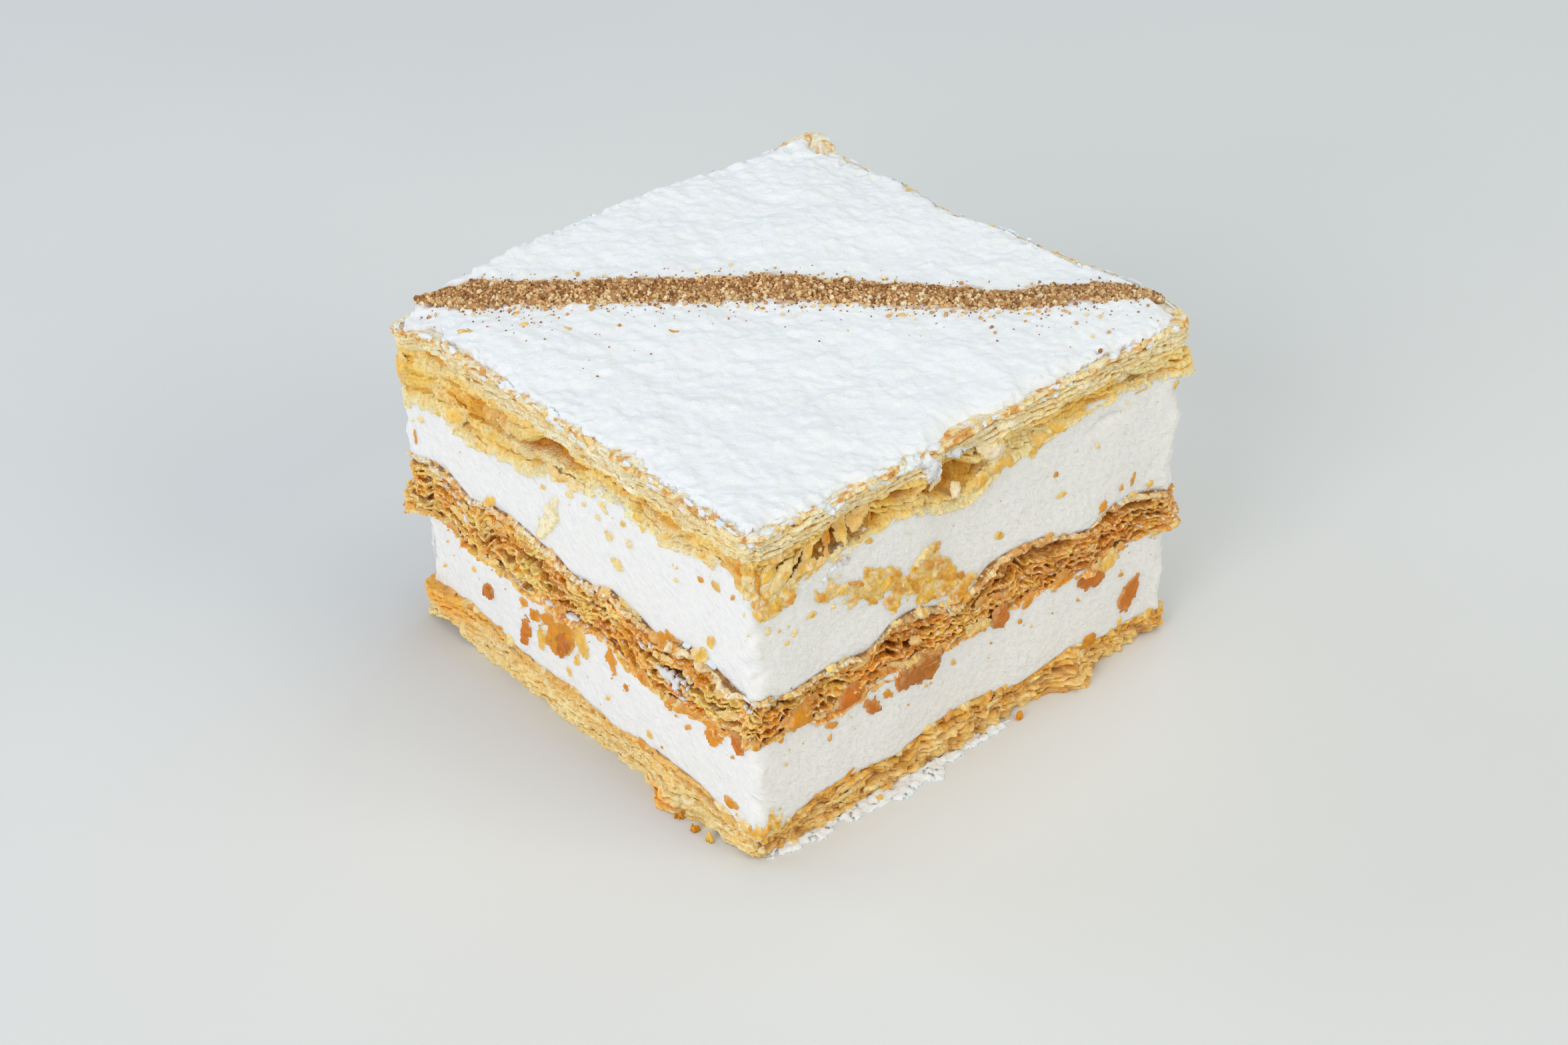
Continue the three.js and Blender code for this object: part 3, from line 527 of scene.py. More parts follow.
def laminated_sheet(name, node, relief, low, high, zones, droop, droop_wall, pockets, tint_at, seed,
                    pleats=0.0, cap=None, bulge=None):
    """A pastry sheet as one closed mesh whose side is folded into many thin leaves.

    low and high are heights at the edge, for every station. Each zone has its own number
    of leaves, how thick they are, and how their gaps open along the edge. The pockets are
    in the lowest zone, each with its leaf, place, reach, height, depth and slope.
    """
    leaves = stacked_leaves(low, high, zones, pockets, seed)
    shape_edges(leaves, low, high, relief, droop, droop_wall, seed)
    limit = 1 - 0.65 * np.clip(NEAR_CORNER, 0, 1)
    rings, tints = [], []

    def ring(out, z, kind, leaf, depth, across=None):
        if kind != CAP:
            crumble = 0.22 * plane_noise(T, z * 1.2, 1.3, seed + 43)
            crumble = crumble + 0.11 * plane_noise(T, z * 1.2, 0.5, seed + 44)
            out = out + leaf["zone"]["crumble"] * crumble * (0.6 if kind in GAP_RINGS else 1.0)
            out = out + (bulge(z) if bulge else 0.0)
        if pleats and kind in GAP_RINGS:
            out = out + pleats * smoothstep(0.7, 1.4, depth) * np.clip(folds(z), -1, 1)
        rings.append(np.column_stack([BASE + NORMAL * out[:, None], z]))
        tints.append(tint_at(z if across is None else across, kind, leaf, depth))

    def back(lower, upper):
        return np.minimum(lower["edge"], upper["edge"]) - np.clip(lower["deep"], 0.05, 6) * limit

    # from deep under the sheet out to the lowest leaf, and then up over the leaves
    inner = np.full(len(T), INNER)
    first, last = leaves[0], leaves[-1]
    ring(inner, low + 0.2, BACK_LOW, first, 1.0)
    ring(mix(inner, droop_wall, 0.8), low + 0.05, BACK_LOW, first, 0.6)
    for below, leaf, above in zip([None] + leaves[:-1], leaves, leaves[1:] + [None]):
        span = np.maximum(leaf["high"] - leaf["low"], 0.03)
        if below:
            ring(back(below, leaf), leaf["low"] + leaf["warp"], BACK_LOW, leaf, below["deep"])
        tuck = 0.4 * span if below else np.minimum(0.4 * span, 0.15)
        ring(leaf["edge"] - tuck - 0.05, leaf["low"] + leaf["curl"], EDGE_LOW, leaf, 0.0)
        ring(leaf["edge"], leaf["low"] + 0.5 * span + leaf["curl"], EDGE_MID, leaf, 0.0)
        ring(leaf["edge"] - 0.35 * span - 0.05, leaf["high"] + leaf["curl"], EDGE_HIGH, leaf, 0.0)
        if above:
            slanted = leaf["high"] + leaf["warp"] + leaf["slope"]
            ring(back(leaf, above), slanted, BACK_HIGH, leaf, leaf["deep"])
    for inset in CAP_INSETS:
        ring(last["edge"] - inset, high - 0.03 * inset, CAP, last, 0.0, high + inset)
    for share in CAP_RINGS:
        x, y = (SHIFT + (BASE - SHIFT) * share).T
        rings.append(np.column_stack([x, y, cap(x, y) if cap else high - 0.25]))
        tints.append(tint_at(high + WIDTH / 2 * (1 - share), CAP, last, 0.0))

    body, faces = closed_tube(rings, low.mean() + 0.2, rings[-1][:, 2].mean())
    build(name, body, faces, np.concatenate(tints + [np.full((2, 3), 0.5)]), (node,), sharp=50)


def shade(base, z, seed, strength):
    """Soft uneven baking: lighter and darker patches a few millimetres wide."""
    patch = plane_noise(T, z * 2.2, 5.5, seed) + 0.6 * plane_noise(T, z * 1.5, 1.4, seed + 1)
    return base * (1 + strength * patch)[:, None]


def mottling(z, stretch, size, small_stretch, small_size, share, seed, small_seed):
    """Fine noise of two sizes on the side, for tints."""
    small = plane_noise(T, z * small_stretch, small_size, small_seed)
    return plane_noise(T, z * stretch, size, seed) + share * small


# Top sheet: a pale crumbly band over moist golden leaves that hang on the cream
# The last tone here is the deeper orange of the gaps in the pale band: partly the crumb's own colour, partly
# painted shade.
PALE, CREAMY, PALE_GOLD, PALE_PORE_SHADE = palette(
    (249, 230, 178), (254, 243, 210), (244, 208, 124), (240, 172, 62))
LIP_PALE, GOLD, AMBER, DEEP_AMBER = palette((254, 238, 188), (254, 212, 104), (234, 172, 34), (212, 140, 8))
SMOOTH, SUNNY = palette((250, 238, 200), (246, 196, 88))
CRUST_BROWN, CRUST_DARK, CRUST_DUSTED = palette((238, 176, 76), (214, 134, 44), (250, 246, 238))
LIP_HEIGHT = 50.3                  # the pale band begins here

# Places where the moist leaves differ: distance along, height, half length, half height, tone, share.
TOP_PATCHES = [
    (3, 47.5, 6, 3.4, GOLD, 0.9), (-2, 45.5, 4, 2.5, AMBER, 0.5), (11, 51.2, 5.5, 1.5, SMOOTH, 0.9),
    (9, 48.2, 4, 1.6, LIP_PALE, 0.7), (17, 45.6, 5, 1.8, AMBER, 0.9), (23, 47.0, 5, 1.6, DEEP_AMBER, 0.5),
    (28, 44.6, 6, 1.0, LIP_PALE, 0.8), (38, 44.8, 9, 1.0, LIP_PALE, 0.9), (50, 46.2, 6, 1.8, LIP_PALE, 0.8),
    (61, 48.9, 8, 1.1, AMBER, 0.7), (66, 46.4, 8, 1.2, LIP_PALE, 0.7), (76, 47.5, 5, 2.6, AMBER, 0.6),
    (84, 47.0, 5, 3.0, AMBER, 0.8), (104, 46.6, 5, 2.2, GOLD, 0.6), (128, 47.6, 8, 2.4, LIP_PALE, 0.7),
    (144, 48.4, 8, 2.0, GOLD, 0.7), (155, 48.6, 6, 2.0, LIP_PALE, 0.6),
]


def top_tint(z, kind, leaf, depth):
    fine = mottling(z, 1.4, 0.9, 1.3, 0.45, 0.6, 74, 75)
    wide = plane_noise(T, z * 1.6, 4.5, 76)
    inside = np.clip(np.asarray(depth) / (2.4 - 0.9 * RIGHT), 0, 1) * (kind in GAP_RINGS)
    if leaf["number"] == 1 or kind == CAP:
        base = blend(PALE, CREAMY, smoothstep(-0.7, 0.9, wide))
        base = blend(base, PALE_GOLD, 0.35 * RIGHT + 0.5 * smoothstep(0.1, 1.1, fine - 0.3 * wide))
        base = blend(base, CREAMY, 0.6 * RIGHT * (kind == EDGE_MID))
        # gaps turn deeper orange the deeper they go: partly the crumb's own colour, partly painted shade
        base = blend(base, PALE_PORE_SHADE, smoothstep(0.0, 0.35, inside))
        rim = smoothstep(-1.2, -0.5, z - along_outline(CRUST, T))
        flecks = smoothstep(0.05, 0.45, fine + 0.35 * ripple(T, 3.3, 78)) * rim
        base = blend(base, blend(CRUST_BROWN, CRUST_DARK, smoothstep(0.3, 0.9, fine)), 0.9 * flecks)
        if kind == CAP:
            base = blend(base, CRUST_DUSTED, 0.8 * smoothstep(0.0, 0.5, plane_noise(T, z, 0.7, 79) + 0.25))
    else:
        rise = np.clip((z - along_outline(UPPER_TOP, T)) / 4.0 + 0.16 * wide + 0.1 * fine, 0, 1)
        base = blend(LIP_PALE, GOLD, 0.8 * smoothstep(0.0, 0.4, rise))
        base = blend(base, LIP_PALE, 0.5 * smoothstep(0.1, 0.9, wide + 0.5 * fine))
        # amber deeper in the gaps: partly the leaves' own colour, partly painted shade
        base = blend(base, AMBER, smoothstep(0.06, 0.6, inside + 0.25 * np.clip(fine, 0, 1)))
        for at, height, long, tall, tone, share in TOP_PATCHES:
            near = np.hypot(wrapped(T, at) / long, (z - height) / tall) + 0.35 * fine + 0.2 * wide
            base = blend(base, tone, share * (1 - smoothstep(0.6, 1.1, near)))
        # deep in the gaps the folds are painted lighter on their ridges and darker in their valleys: painted
        # light and shade over the amber of the hollows
        ridge = smoothstep(-0.6, 0.7, folds(z))
        hollow = blend(blend(DEEP_AMBER, AMBER, ridge), blend(AMBER, SUNNY, ridge), RIGHT)
        base = blend(base, hollow, smoothstep(0.5, 0.95, inside))
    return shade(base, z, 73, 0.05)


TOP_DROOPS = [(49, 5, 0.7), (3, 6, 0.6), (15, 7, 0.7), (84, 6, 0.8), (119, 6, 0.8), (166, 6, 0.9)]
TOP_POCKETS = [
    (1, 38, 8.5, 3.2, 2.6, 0.3), (2, 61, 10.5, 1.8, 1.9, 0.5), (1, 27, 5, 1.0, 1.6, 0.4),
    (2, 19, 5, 1.0, 1.4, 0.3), (0, 98, 7.0, 3.8, 1.6, 0.2), (0, 90, 5, 3.4, 1.3, 0.2),
    (2, 107, 5, 1.0, 1.5, 0.2), (1, 117, 7, 4.0, 2.0, 0.3), (2, 136, 11, 1.2, 2.0, 0.4),
    (1, 152, 9, 1.0, 1.8, 0.3), (1, 182, 12, 2.4, 2.6, 0.3), (2, 216, 14, 2.0, 2.4, 0.3),
    (1, 262, 10, 2.2, 2.6, 0.3), (2, 296, 13, 1.8, 2.2, 0.3),
]
low = along_outline(UPPER_TOP, T) + 0.05
high = along_outline(CRUST, T) + 0.12 * ripple(T, 3, 5)
droop = (0.25 + 0.45 * np.clip(torn(T, 1.7, 21), 0, 1) + 0.5 * np.clip(ripple(T, 6, 22), 0, 1)
         + droops(TOP_DROOPS))
laminated_sheet(
    "top_sheet", "pastry_top", TOP_RELIEF, low, high,
    [dict(top=LIP_HEIGHT, leaves=4, thick=0.8, gap=0.4, wave=6.5, shut=0.35, groove=0.2, deep=1.2,
          pore=4.6, filled=0.35, lead=-0.05, jag=0.5, curl=0.3, warp=0.5, crumble=2.0),
     dict(top=None, leaves=5, thick=0.7, gap=0.16 + 0.26 * RIGHT, wave=4.0, shut=0.4,
          groove=0.1 + 0.2 * RIGHT, deep=0.45 + 0.6 * RIGHT, pore=3.0, filled=0.35, lead=0.05,
          jag=0.36, curl=0.16, warp=0.4, crumble=1.8 - 1.2 * RIGHT)],
    droop, cream_out("cream_upper", T, low - 0.4), TOP_POCKETS, top_tint, 1000, pleats=1.0,
    cap=lambda x, y: CRUST_TOP(x, y) - 0.12)

# Middle sheet: browned and moist, with a crumpled leaf on top
TAN_EDGE, TAN_BODY = palette((255, 236, 184), (250, 206, 126))
# The last tone here is partly the crumb's own dark brown and partly painted shade in the gaps.
CARAMEL_EDGE, CARAMEL_BODY, CARAMEL_PORE_SHADE = palette((255, 226, 128), (254, 180, 44), (156, 80, 6))
# The last tone is white: partly sugar, partly painted glints on the top leaf.
HONEY, DARK_LINE, MOIST_TAN, SUGAR_AND_GLINT = palette(
    (226, 138, 20), (122, 64, 12), (240, 184, 100), (255, 248, 232))
MOIST, MOIST_TOP = np.array([0.93, 0.83, 0.62]), np.array([0.9, 0.84, 0.72])   # the right side is darker
SOFT_RIGHT = smoothstep(78, 84, T) * (1 - smoothstep(160, 170, T))


def middle_tint(z, kind, leaf, depth):
    if kind == CAP:
        return shade(np.broadcast_to(mix(DARK_LINE, CARAMEL_BODY, 0.3), (len(T), 3)), z, 92, 0.2)
    top_leaf = leaf["number"] == 1
    fine = mottling(z, 1.4, 1.2, 1.2, 0.5, 0.6, 90, 94)
    moist = smoothstep(-0.7, 0.7, plane_noise(T, z * 1.6, 6.0, 91) + 0.3 * fine)
    edge, body = (TAN_EDGE, TAN_BODY) if top_leaf else (CARAMEL_EDGE, CARAMEL_BODY)
    if kind in GAP_RINGS:
        inside = np.clip(np.asarray(depth) / 1.6, 0, 1) * np.ones(len(T))
        # gaps darken to deep brown the deeper they go: partly the crumb's own colour, partly painted shade
        base = blend(body, CARAMEL_PORE_SHADE, smoothstep(0.0, 0.8, inside))
    else:
        # the outermost ring of each leaf keeps more of the pale edge tone: partly a paler crust, partly a
        # painted highlight where the edge stands out
        base = blend(edge, body, 0.75 * moist if kind == EDGE_MID else 0.3 + 0.7 * moist)
    base = blend(base, HONEY, 0.75 * smoothstep(0.15, 1.0, fine + 0.5 * moist - 0.25))
    if top_leaf:
        # white specks on the top leaf: partly sugar, partly painted glints
        base = blend(base, SUGAR_AND_GLINT, 0.7 * (1 - 0.6 * SOFT_RIGHT) * smoothstep(0.2, 0.7, -fine - 0.2 * moist))
    soaked = smoothstep(-0.2, 0.5, plane_noise(T, z * 1.3, 2.2, 96) + 0.5 * fine)
    base = blend(base, MOIST_TAN, 0.8 * SOFT_RIGHT * soaked)
    base = base * blend(np.ones(3), MOIST_TOP if top_leaf else MOIST, SOFT_RIGHT)
    if top_leaf:
        base = blend(base, DARK_LINE, (0.5 * (kind == EDGE_HIGH)) * smoothstep(-0.3, 0.4, ripple(T, 14, 95)))
    return shade(base, z, 93, 0.1)


MIDDLE_DROOPS = [(-1, 5, 0.9), (36, 8, 0.8), (70.5, 6, 0.6), (96, 7, 0.9), (111.5, 9, 1.0), (148, 8, 0.9)]
MIDDLE_POCKETS = [
    (7, 134, 9, 2.4, 4.4, 0.3), (7, 109, 8, 1.3, 2.6, 0), (7, 152, 7, 1.0, 2.2, 0), (6, 70, 9, 1.4, 2.6, 0),
    (5, 34, 12, 1.0, 2.0, 0), (7, 2, 6, 1.0, 2.2, 0),
]
low = along_outline(LOWER_TOP, T) + 0.05
high = along_outline(UPPER_LOW, T) - 0.05
droop = (0.2 + 0.5 * np.clip(torn(T, 1.4, 31), 0, 1) + 0.4 * np.clip(ripple(T, 5, 32), 0, 1)
         + droops(MIDDLE_DROOPS))
top_leaf_band = np.clip(0.16 * (high - low), 0.7, 1.6)
laminated_sheet(
    "middle_sheet", "pastry_middle", MIDDLE_RELIEF, low, high,
    [dict(top=high - top_leaf_band, leaves=8, thick=0.4, gap=0.66, wave=4.2, shut=0.35, groove=0.24, deep=1.6,
          pore=2.3, filled=0.85, lead=-0.05, jag=0.6, curl=0.24, warp=0.7, crumble=1.3),
     dict(top=None, leaves=1, thick=1.0, gap=0.05, wave=5, shut=0.3, groove=0.14, deep=0.5,
          pore=2.5, filled=0.3, lead=0.2, jag=0.75, curl=0.3, warp=0.1,
          crumble=2.0 + 2.4 * bell(wrapped(T, 68), 15))],
    droop, cream_out("cream_lower", T, low - 0.4), MIDDLE_POCKETS, middle_tint, 3000)

# Bottom sheet: compact and pale, golden and moist where it meets the cream
# The last tone is the orange-brown of the hollows: partly the crumb's own colour, partly painted shade.
BASE_PALE, BASE_BODY, BASE_GOLD, BASE_HOLLOW_SHADE = palette(
    (252, 230, 170), (246, 210, 130), (236, 180, 74), (190, 118, 30))


def lumps(z):
    """Coarse lumps of the crumbly side of the bottom sheet, -1 to 1."""
    return 0.8 * plane_noise(T + z, z * 1.4, 1.9, 5046) + 0.6 * plane_noise(T - z, z * 1.4, 0.9, 5047)


def bottom_tint(z, kind, leaf, depth):
    fine = mottling(z, 1.6, 1.2, 1.4, 0.5, 0.5, 98, 99)
    inside = np.clip(np.asarray(depth) / 1.4, 0, 1) * np.ones(len(T)) * (kind in GAP_RINGS)
    near_cream = smoothstep(-2.6, -0.4, z - along_outline(LOWER_LOW, T) + 0.5 * fine)
    golden = 0.75 * near_cream + 0.5 * SOFT_RIGHT + 0.4 * np.clip(fine, 0, 1) * SOFT_RIGHT
    base = blend(BASE_PALE, BASE_BODY, smoothstep(-0.6, 0.8, fine))
    base = blend(base, BASE_GOLD, np.clip(golden, 0, 1))
    # gaps darker, most near the cream: partly the crumb's own colour, partly painted shade
    base = blend(base, BASE_HOLLOW_SHADE, inside * (0.5 + 0.5 * near_cream))
    # on the right the hollows between the bulging lumps are painted darker and their tops lighter: painted
    # shade and painted light
    base = blend(base, BASE_HOLLOW_SHADE, 0.7 * SOFT_RIGHT * smoothstep(0.0, -0.8, lumps(z)))
    base = blend(base, BASE_PALE, 0.5 * SOFT_RIGHT * smoothstep(0.2, 0.8, lumps(z)))
    browner = 1.4 * bell(wrapped(T, 8), 15) * smoothstep(1.5, 5, z + 0.6 * fine)
    browner = browner + 1.6 * bell(wrapped(T, 60), 6) * (1 - smoothstep(1.2, 2.2, z + 0.4 * fine))
    base = blend(base, CARAMEL_BODY, np.clip(0.5 * browner, 0, 0.9))
    return shade(base, z, 97, 0.06)


BOTTOM_POCKETS = [
    (3, 90, 6, 0.8, 1.5, 0.2), (2, 103, 5, 0.7, 1.4, 0.2), (4, 116, 6, 0.8, 1.5, 0.2),
    (3, 137, 6, 0.8, 1.5, 0.2), (4, 21, 7, 0.6, 1.3, 0.2), (5, 46, 8, 0.5, 1.3, 0.2),
    (5, 66, 6, 0.5, 1.2, 0.2),
]
lift = BOTTOM.face_height(*ring_points(SAMPLES, np.full(len(SAMPLES), -0.8)).T, False)
low = np.clip(along_outline(soften(np.nan_to_num(lift), 0.7), T), 0.0, None)
high = np.maximum(along_outline(LOWER_LOW, T) - 0.05, low + 1.0)
laminated_sheet(
    "bottom_sheet", "pastry_bottom", BOTTOM_RELIEF, low, high,
    [dict(top=None, leaves=7, thick=0.6, gap=0.2, wave=7, shut=0.35, groove=0.12, deep=0.8,
          pore=3.6, filled=0.3, lead=-0.05, jag=0.42, curl=0.14, warp=0.6, crumble=1.2 + 0.9 * RIGHT)],
    np.zeros(len(T)), np.full(len(T), -1.2), BOTTOM_POCKETS, bottom_tint, 5000,
    bulge=lambda z: (0.14 + 0.36 * RIGHT) * lumps(z))


# ---------------------------------------------------------------- cream
def cream_block(name, node, low, high, rows=38):
    """Soft block with an uneven knife-cut wall; the rings run from under to over it."""
    t = stations(CREAM_STEP, 2 * CREAM_STEP)
    low, high = along_outline(low, t), along_outline(high, t)
    point, normal = outline(t)
    rings = [np.column_stack([point + normal * INNER, low])]
    for share in np.linspace(0, 1, rows):
        z = mix(low + 0.02, high - 0.02, share)
        rings.append(np.column_stack([point + normal * cream_out(node, t, z)[:, None], z]))
    rings.append(np.column_stack([point + normal * INNER, high]))
    body, faces = closed_tube(rings, low.mean(), high.mean())
    build(name, body, faces, None, (node,))


cream_block("upper_cream", "cream_upper", UPPER_LOW - 0.1, UPPER_TOP + 0.1)
cream_block("lower_cream", "cream_lower", LOWER_LOW - 0.1, LOWER_TOP + 0.1)


# ---------------------------------------------------------------- powdered sugar
RIM_GAPS = ((54, 5, 1.3), (44, 4, 0.6), (18, 4, 0.9), (36, 5, 0.5), (29, 4, -0.5), (161, 3, 1.6), (8, 5, 2.3),
            (325, 6, 3.0))


def powder_rim(t):
    """Mean inset of the coat's rim from the edge of the crust, and its ragged part."""
    left_side = smoothstep(WIDTH * 2 + DEPTH, WIDTH * 2 + DEPTH + 12, np.where(t < 4, t + PERIMETER, t))
    rim = 0.95 - 0.9 * left_side + 0.4 * ripple(t, 6, 301) * (1 - 0.6 * left_side)
    for at, reach, more in RIM_GAPS:
        rim = rim + more * bell(wrapped(t, at), reach)
    ragged = 0.34 * torn(t, 1.3, 302) + 0.26 * torn(t, 0.6, 303) + 0.2 * ripple(t, 0.45, 304)
    softer = smoothstep(WIDTH, WIDTH + 6, t)
    return np.clip(rim, 0.0, 4.0), ragged * (1 - 0.45 * softer)


def powder_relief(x, y):
    swells = 0.36 * cloud(x, y, 8, 311, 2)
    drifts = cloud(x + 0.8 * plane_noise(x, y, 3, 320), y, 2.1, 315, 3)
    creases = np.abs(cloud(x + 0.5 * plane_noise(x, y, 2, 321), y, 1.5, 318, 2))
    grain = plane_noise(x, y, 0.7, 325)
    return swells + 0.22 * (np.abs(drifts) ** 1.3 * np.sign(drifts)) + 0.2 * creases + 0.06 * grain


def bare_corner(x, y):
    """How thin the coat lies at the left corner, 0 to 1."""
    return np.exp(-(((x + 38) / 9) ** 2 + ((y - 38) / 9) ** 2))


def powder_height(x, y, inward=9.0):
    """Top of the coat; inward is the distance from its ragged rim."""
    full = smoothstep(-0.4, 2.2, inward)
    near_rim = np.exp(-np.maximum(inward, 0) / 1.7)
    thickness = 0.22 + 0.72 * full * (1 - 0.5 * bare_corner(x, y))
    clumps = 0.3 * near_rim * np.abs(cloud(x, y, 0.9, 331, 2))
    worn = np.clip(near_rim * 1.5 + 0.5 * bare_corner(x, y), 0, 1)
    holes = smoothstep(0.1, 0.5, cloud(x, y, 1.2, 335, 2)) * worn
    return CRUST_TOP(x, y) + thickness + clumps - 0.95 * holes + powder_relief(x, y) * (0.25 + 0.75 * full)


LINE_PATH = np.array([
    (-40.9, -37.2), (-40.2, -35.6), (-38.4, -33), (-35, -29.8), (-30, -24.5), (-25, -19.5), (-20, -13),
    (-15, -8), (-10, -1.5), (-5, 4.5), (0, 8.5), (5, 12.5), (10, 17.5), (15, 21), (20, 26.5), (23, 31.5),
    (27.5, 37), (34.2, 43.8),
]) + SHIFT
LINE_LENGTH = np.hypot(*np.diff(LINE_PATH, axis=0).T).sum()


def line_places(count):
    """Evenly spaced points on the centre of the cinnamon line, with the way across it."""
    steps = np.hypot(*np.diff(LINE_PATH, axis=0).T)
    run = np.concatenate([[0], np.cumsum(steps)])
    at = np.linspace(0, run[-1], count)
    x, y = (np.interp(at, run, LINE_PATH[:, k]) for k in (0, 1))
    weights = np.hanning(31) / np.hanning(31).sum()
    x, y = (np.convolve(np.pad(v, 15, mode="edge"), weights, "valid") for v in (x, y))
    way = np.stack([np.gradient(x), np.gradient(y)], 1)
    way /= np.linalg.norm(way, axis=1)[:, None]
    return at, np.stack([x, y], 1), np.stack([-way[:, 1], way[:, 0]], 1)


def line_half_width(at):
    """Half the width of the cinnamon line, at distances along it."""
    half = 3.1 - 0.8 * smoothstep(60, 105, at) + 0.6 * bell(at - 18, 6)
    half = half + 0.45 * ripple(at * 3, 9, 811) + 0.3 * ripple(at * 3, 3.2, 815)
    starting = 0.06 + 0.94 * smoothstep(0, 11, at) ** 0.7
    ending = 0.1 + 0.9 * smoothstep(LINE_LENGTH, LINE_LENGTH - 12, at) ** 0.8
    return half * starting * ending


STAIN_BLOCK = 8192                 # points of the coat that are measured at a time


def line_stain(x, y):
    """Cinnamon dust on the white coat beside the line, 0 to 1."""
    at, centre, _ = line_places(220)
    half = line_half_width(at)
    stain = np.zeros(x.size)
    flat = np.stack([x.ravel(), y.ravel()], 1)
    for start in range(0, len(flat), STAIN_BLOCK):
        away_x, away_y = (flat[start:start + STAIN_BLOCK, None] - centre[None]).transpose(2, 0, 1)
        stain[start:start + STAIN_BLOCK] = (np.hypot(away_x, away_y) - half[None]).min(axis=1)
    beyond = stain.reshape(x.shape) + 0.7 * cloud(x, y, 1.1, 341, 3)
    return 0.85 * (1 - smoothstep(-0.4, 1.3, beyond))


COAT_COLUMNS, COAT_ROWS = 222, 230
RIM_FADE = 1.4                     # the ragged part of the rim dies away this far inwards
RIM_SUNK, INNER_SUNK = 0.35, 1.2   # how deep the coat's rim, and a ring inside it, sit in the crust
INNER_SHARE, HUB_HEIGHT = 0.93, 52.4   # where that ring runs, and the point that closes the underside


def powder_coat():
    """A fine grid laid over the ragged rim (a Coons patch), closed underneath."""
    nx, ny = COAT_COLUMNS, COAT_ROWS
    even, jagged = [], []
    for start, count, length in zip(CORNER_PLACES, (nx, ny, nx, ny), (WIDTH, DEPTH, WIDTH, DEPTH)):
        t = start + np.linspace(0, 1, count) * length
        edge = along_outline(soften(TOP_RELIEF(SAMPLES, CRUST - 1.2), 2.5), t)
        rim, ragged = powder_rim(t)
        even.append(ring_points(t, edge - rim))
        jagged.append(ring_points(t, edge - rim - ragged) - even[-1])
    even[2], even[3], jagged[2], jagged[3] = even[2][::-1], even[3][::-1], jagged[2][::-1], jagged[3][::-1]
    south, east, north, west = even
    u = np.linspace(0, 1, nx)[:, None, None]
    v = np.linspace(0, 1, ny)[None, :, None]
    ruled = (1 - v) * south[:, None] + v * north[:, None] + (1 - u) * west[None] + u * east[None]
    corners = (1 - u) * (1 - v) * south[0] + u * (1 - v) * south[-1]
    corners = corners + (1 - u) * v * north[0] + u * v * north[-1]
    grid = ruled - corners
    for offset, distance in zip((jagged[0][:, None], jagged[1][None], jagged[2][:, None], jagged[3][None]),
                                (v * DEPTH, (1 - u) * WIDTH, (1 - v) * DEPTH, u * WIDTH)):
        grid = grid + offset * np.exp(-distance / RIM_FADE)
    x, y = grid[..., 0], grid[..., 1]
    du = np.minimum(u, 1 - u)[..., 0] * WIDTH
    dv = np.minimum(v, 1 - v)[..., 0] * DEPTH
    z = powder_height(x, y, np.minimum(du, dv) * np.ones_like(x))
    top = np.column_stack([x.ravel(), y.ravel(), z.ravel()])
    index = np.arange(nx * ny).reshape(nx, ny)
    quads = np.stack([index[:-1, :-1], index[1:, :-1], index[1:, 1:], index[:-1, 1:]], -1).reshape(-1, 4)
    loop = np.concatenate([index[:-1, 0], index[-1, :-1], index[:0:-1, -1], index[0, :0:-1]])
    count, n = len(loop), len(top)
    rim = top[loop].copy()
    rim[:, 2] = CRUST_TOP(rim[:, 0], rim[:, 1]) - RIM_SUNK
    inner = rim.copy()
    inner[:, :2] = SHIFT + (inner[:, :2] - SHIFT) * INNER_SHARE
    inner[:, 2] = CRUST_TOP(inner[:, 0], inner[:, 1]) - INNER_SUNK
    points = np.concatenate([top, rim, inner, [[*SHIFT, HUB_HEIGHT]]])
    i = np.arange(count)
    j = (i + 1) % count
    skirt = np.stack([loop[j], loop[i], n + i, n + j], 1)
    under = np.stack([n + j, n + i, n + count + i, n + count + j], 1)
    hub = np.stack([n + count + j, n + count + i, np.full(count, n + 2 * count)], 1)
    faces = quads.tolist() + skirt.tolist() + under.tolist() + hub.tolist()
    tint = np.zeros((len(points), 3))
    tint[:n, 0] = line_stain(x, y).ravel()
    build("powder_coat", points, faces, tint, ("powdered_sugar",))


powder_coat()


# ---------------------------------------------------------------- flakes and smears on the sides
def surface_out(t, z):
    """How far the visible side stands out of the plain outline, at any height."""
    under_top, over_middle = along_outline(UPPER_TOP, t), along_outline(UPPER_LOW, t)
    under_middle, over_base = along_outline(LOWER_TOP, t), along_outline(LOWER_LOW, t)
    upper = z > (over_middle + under_middle) / 2
    out = np.where(upper, cream_out("cream_upper", t, z), cream_out("cream_lower", t, z))
    in_middle = smoothstep(-0.6, 0.4, z - under_middle) * (1 - smoothstep(-0.4, 0.6, z - over_middle))
    out = mix(out, TOP_RELIEF(t, z), smoothstep(-0.6, 0.4, z - under_top))
    out = mix(out, MIDDLE_RELIEF(t, z), in_middle)
    return mix(out, BOTTOM_RELIEF(t, z), 1 - smoothstep(-0.4, 0.6, z - over_base))


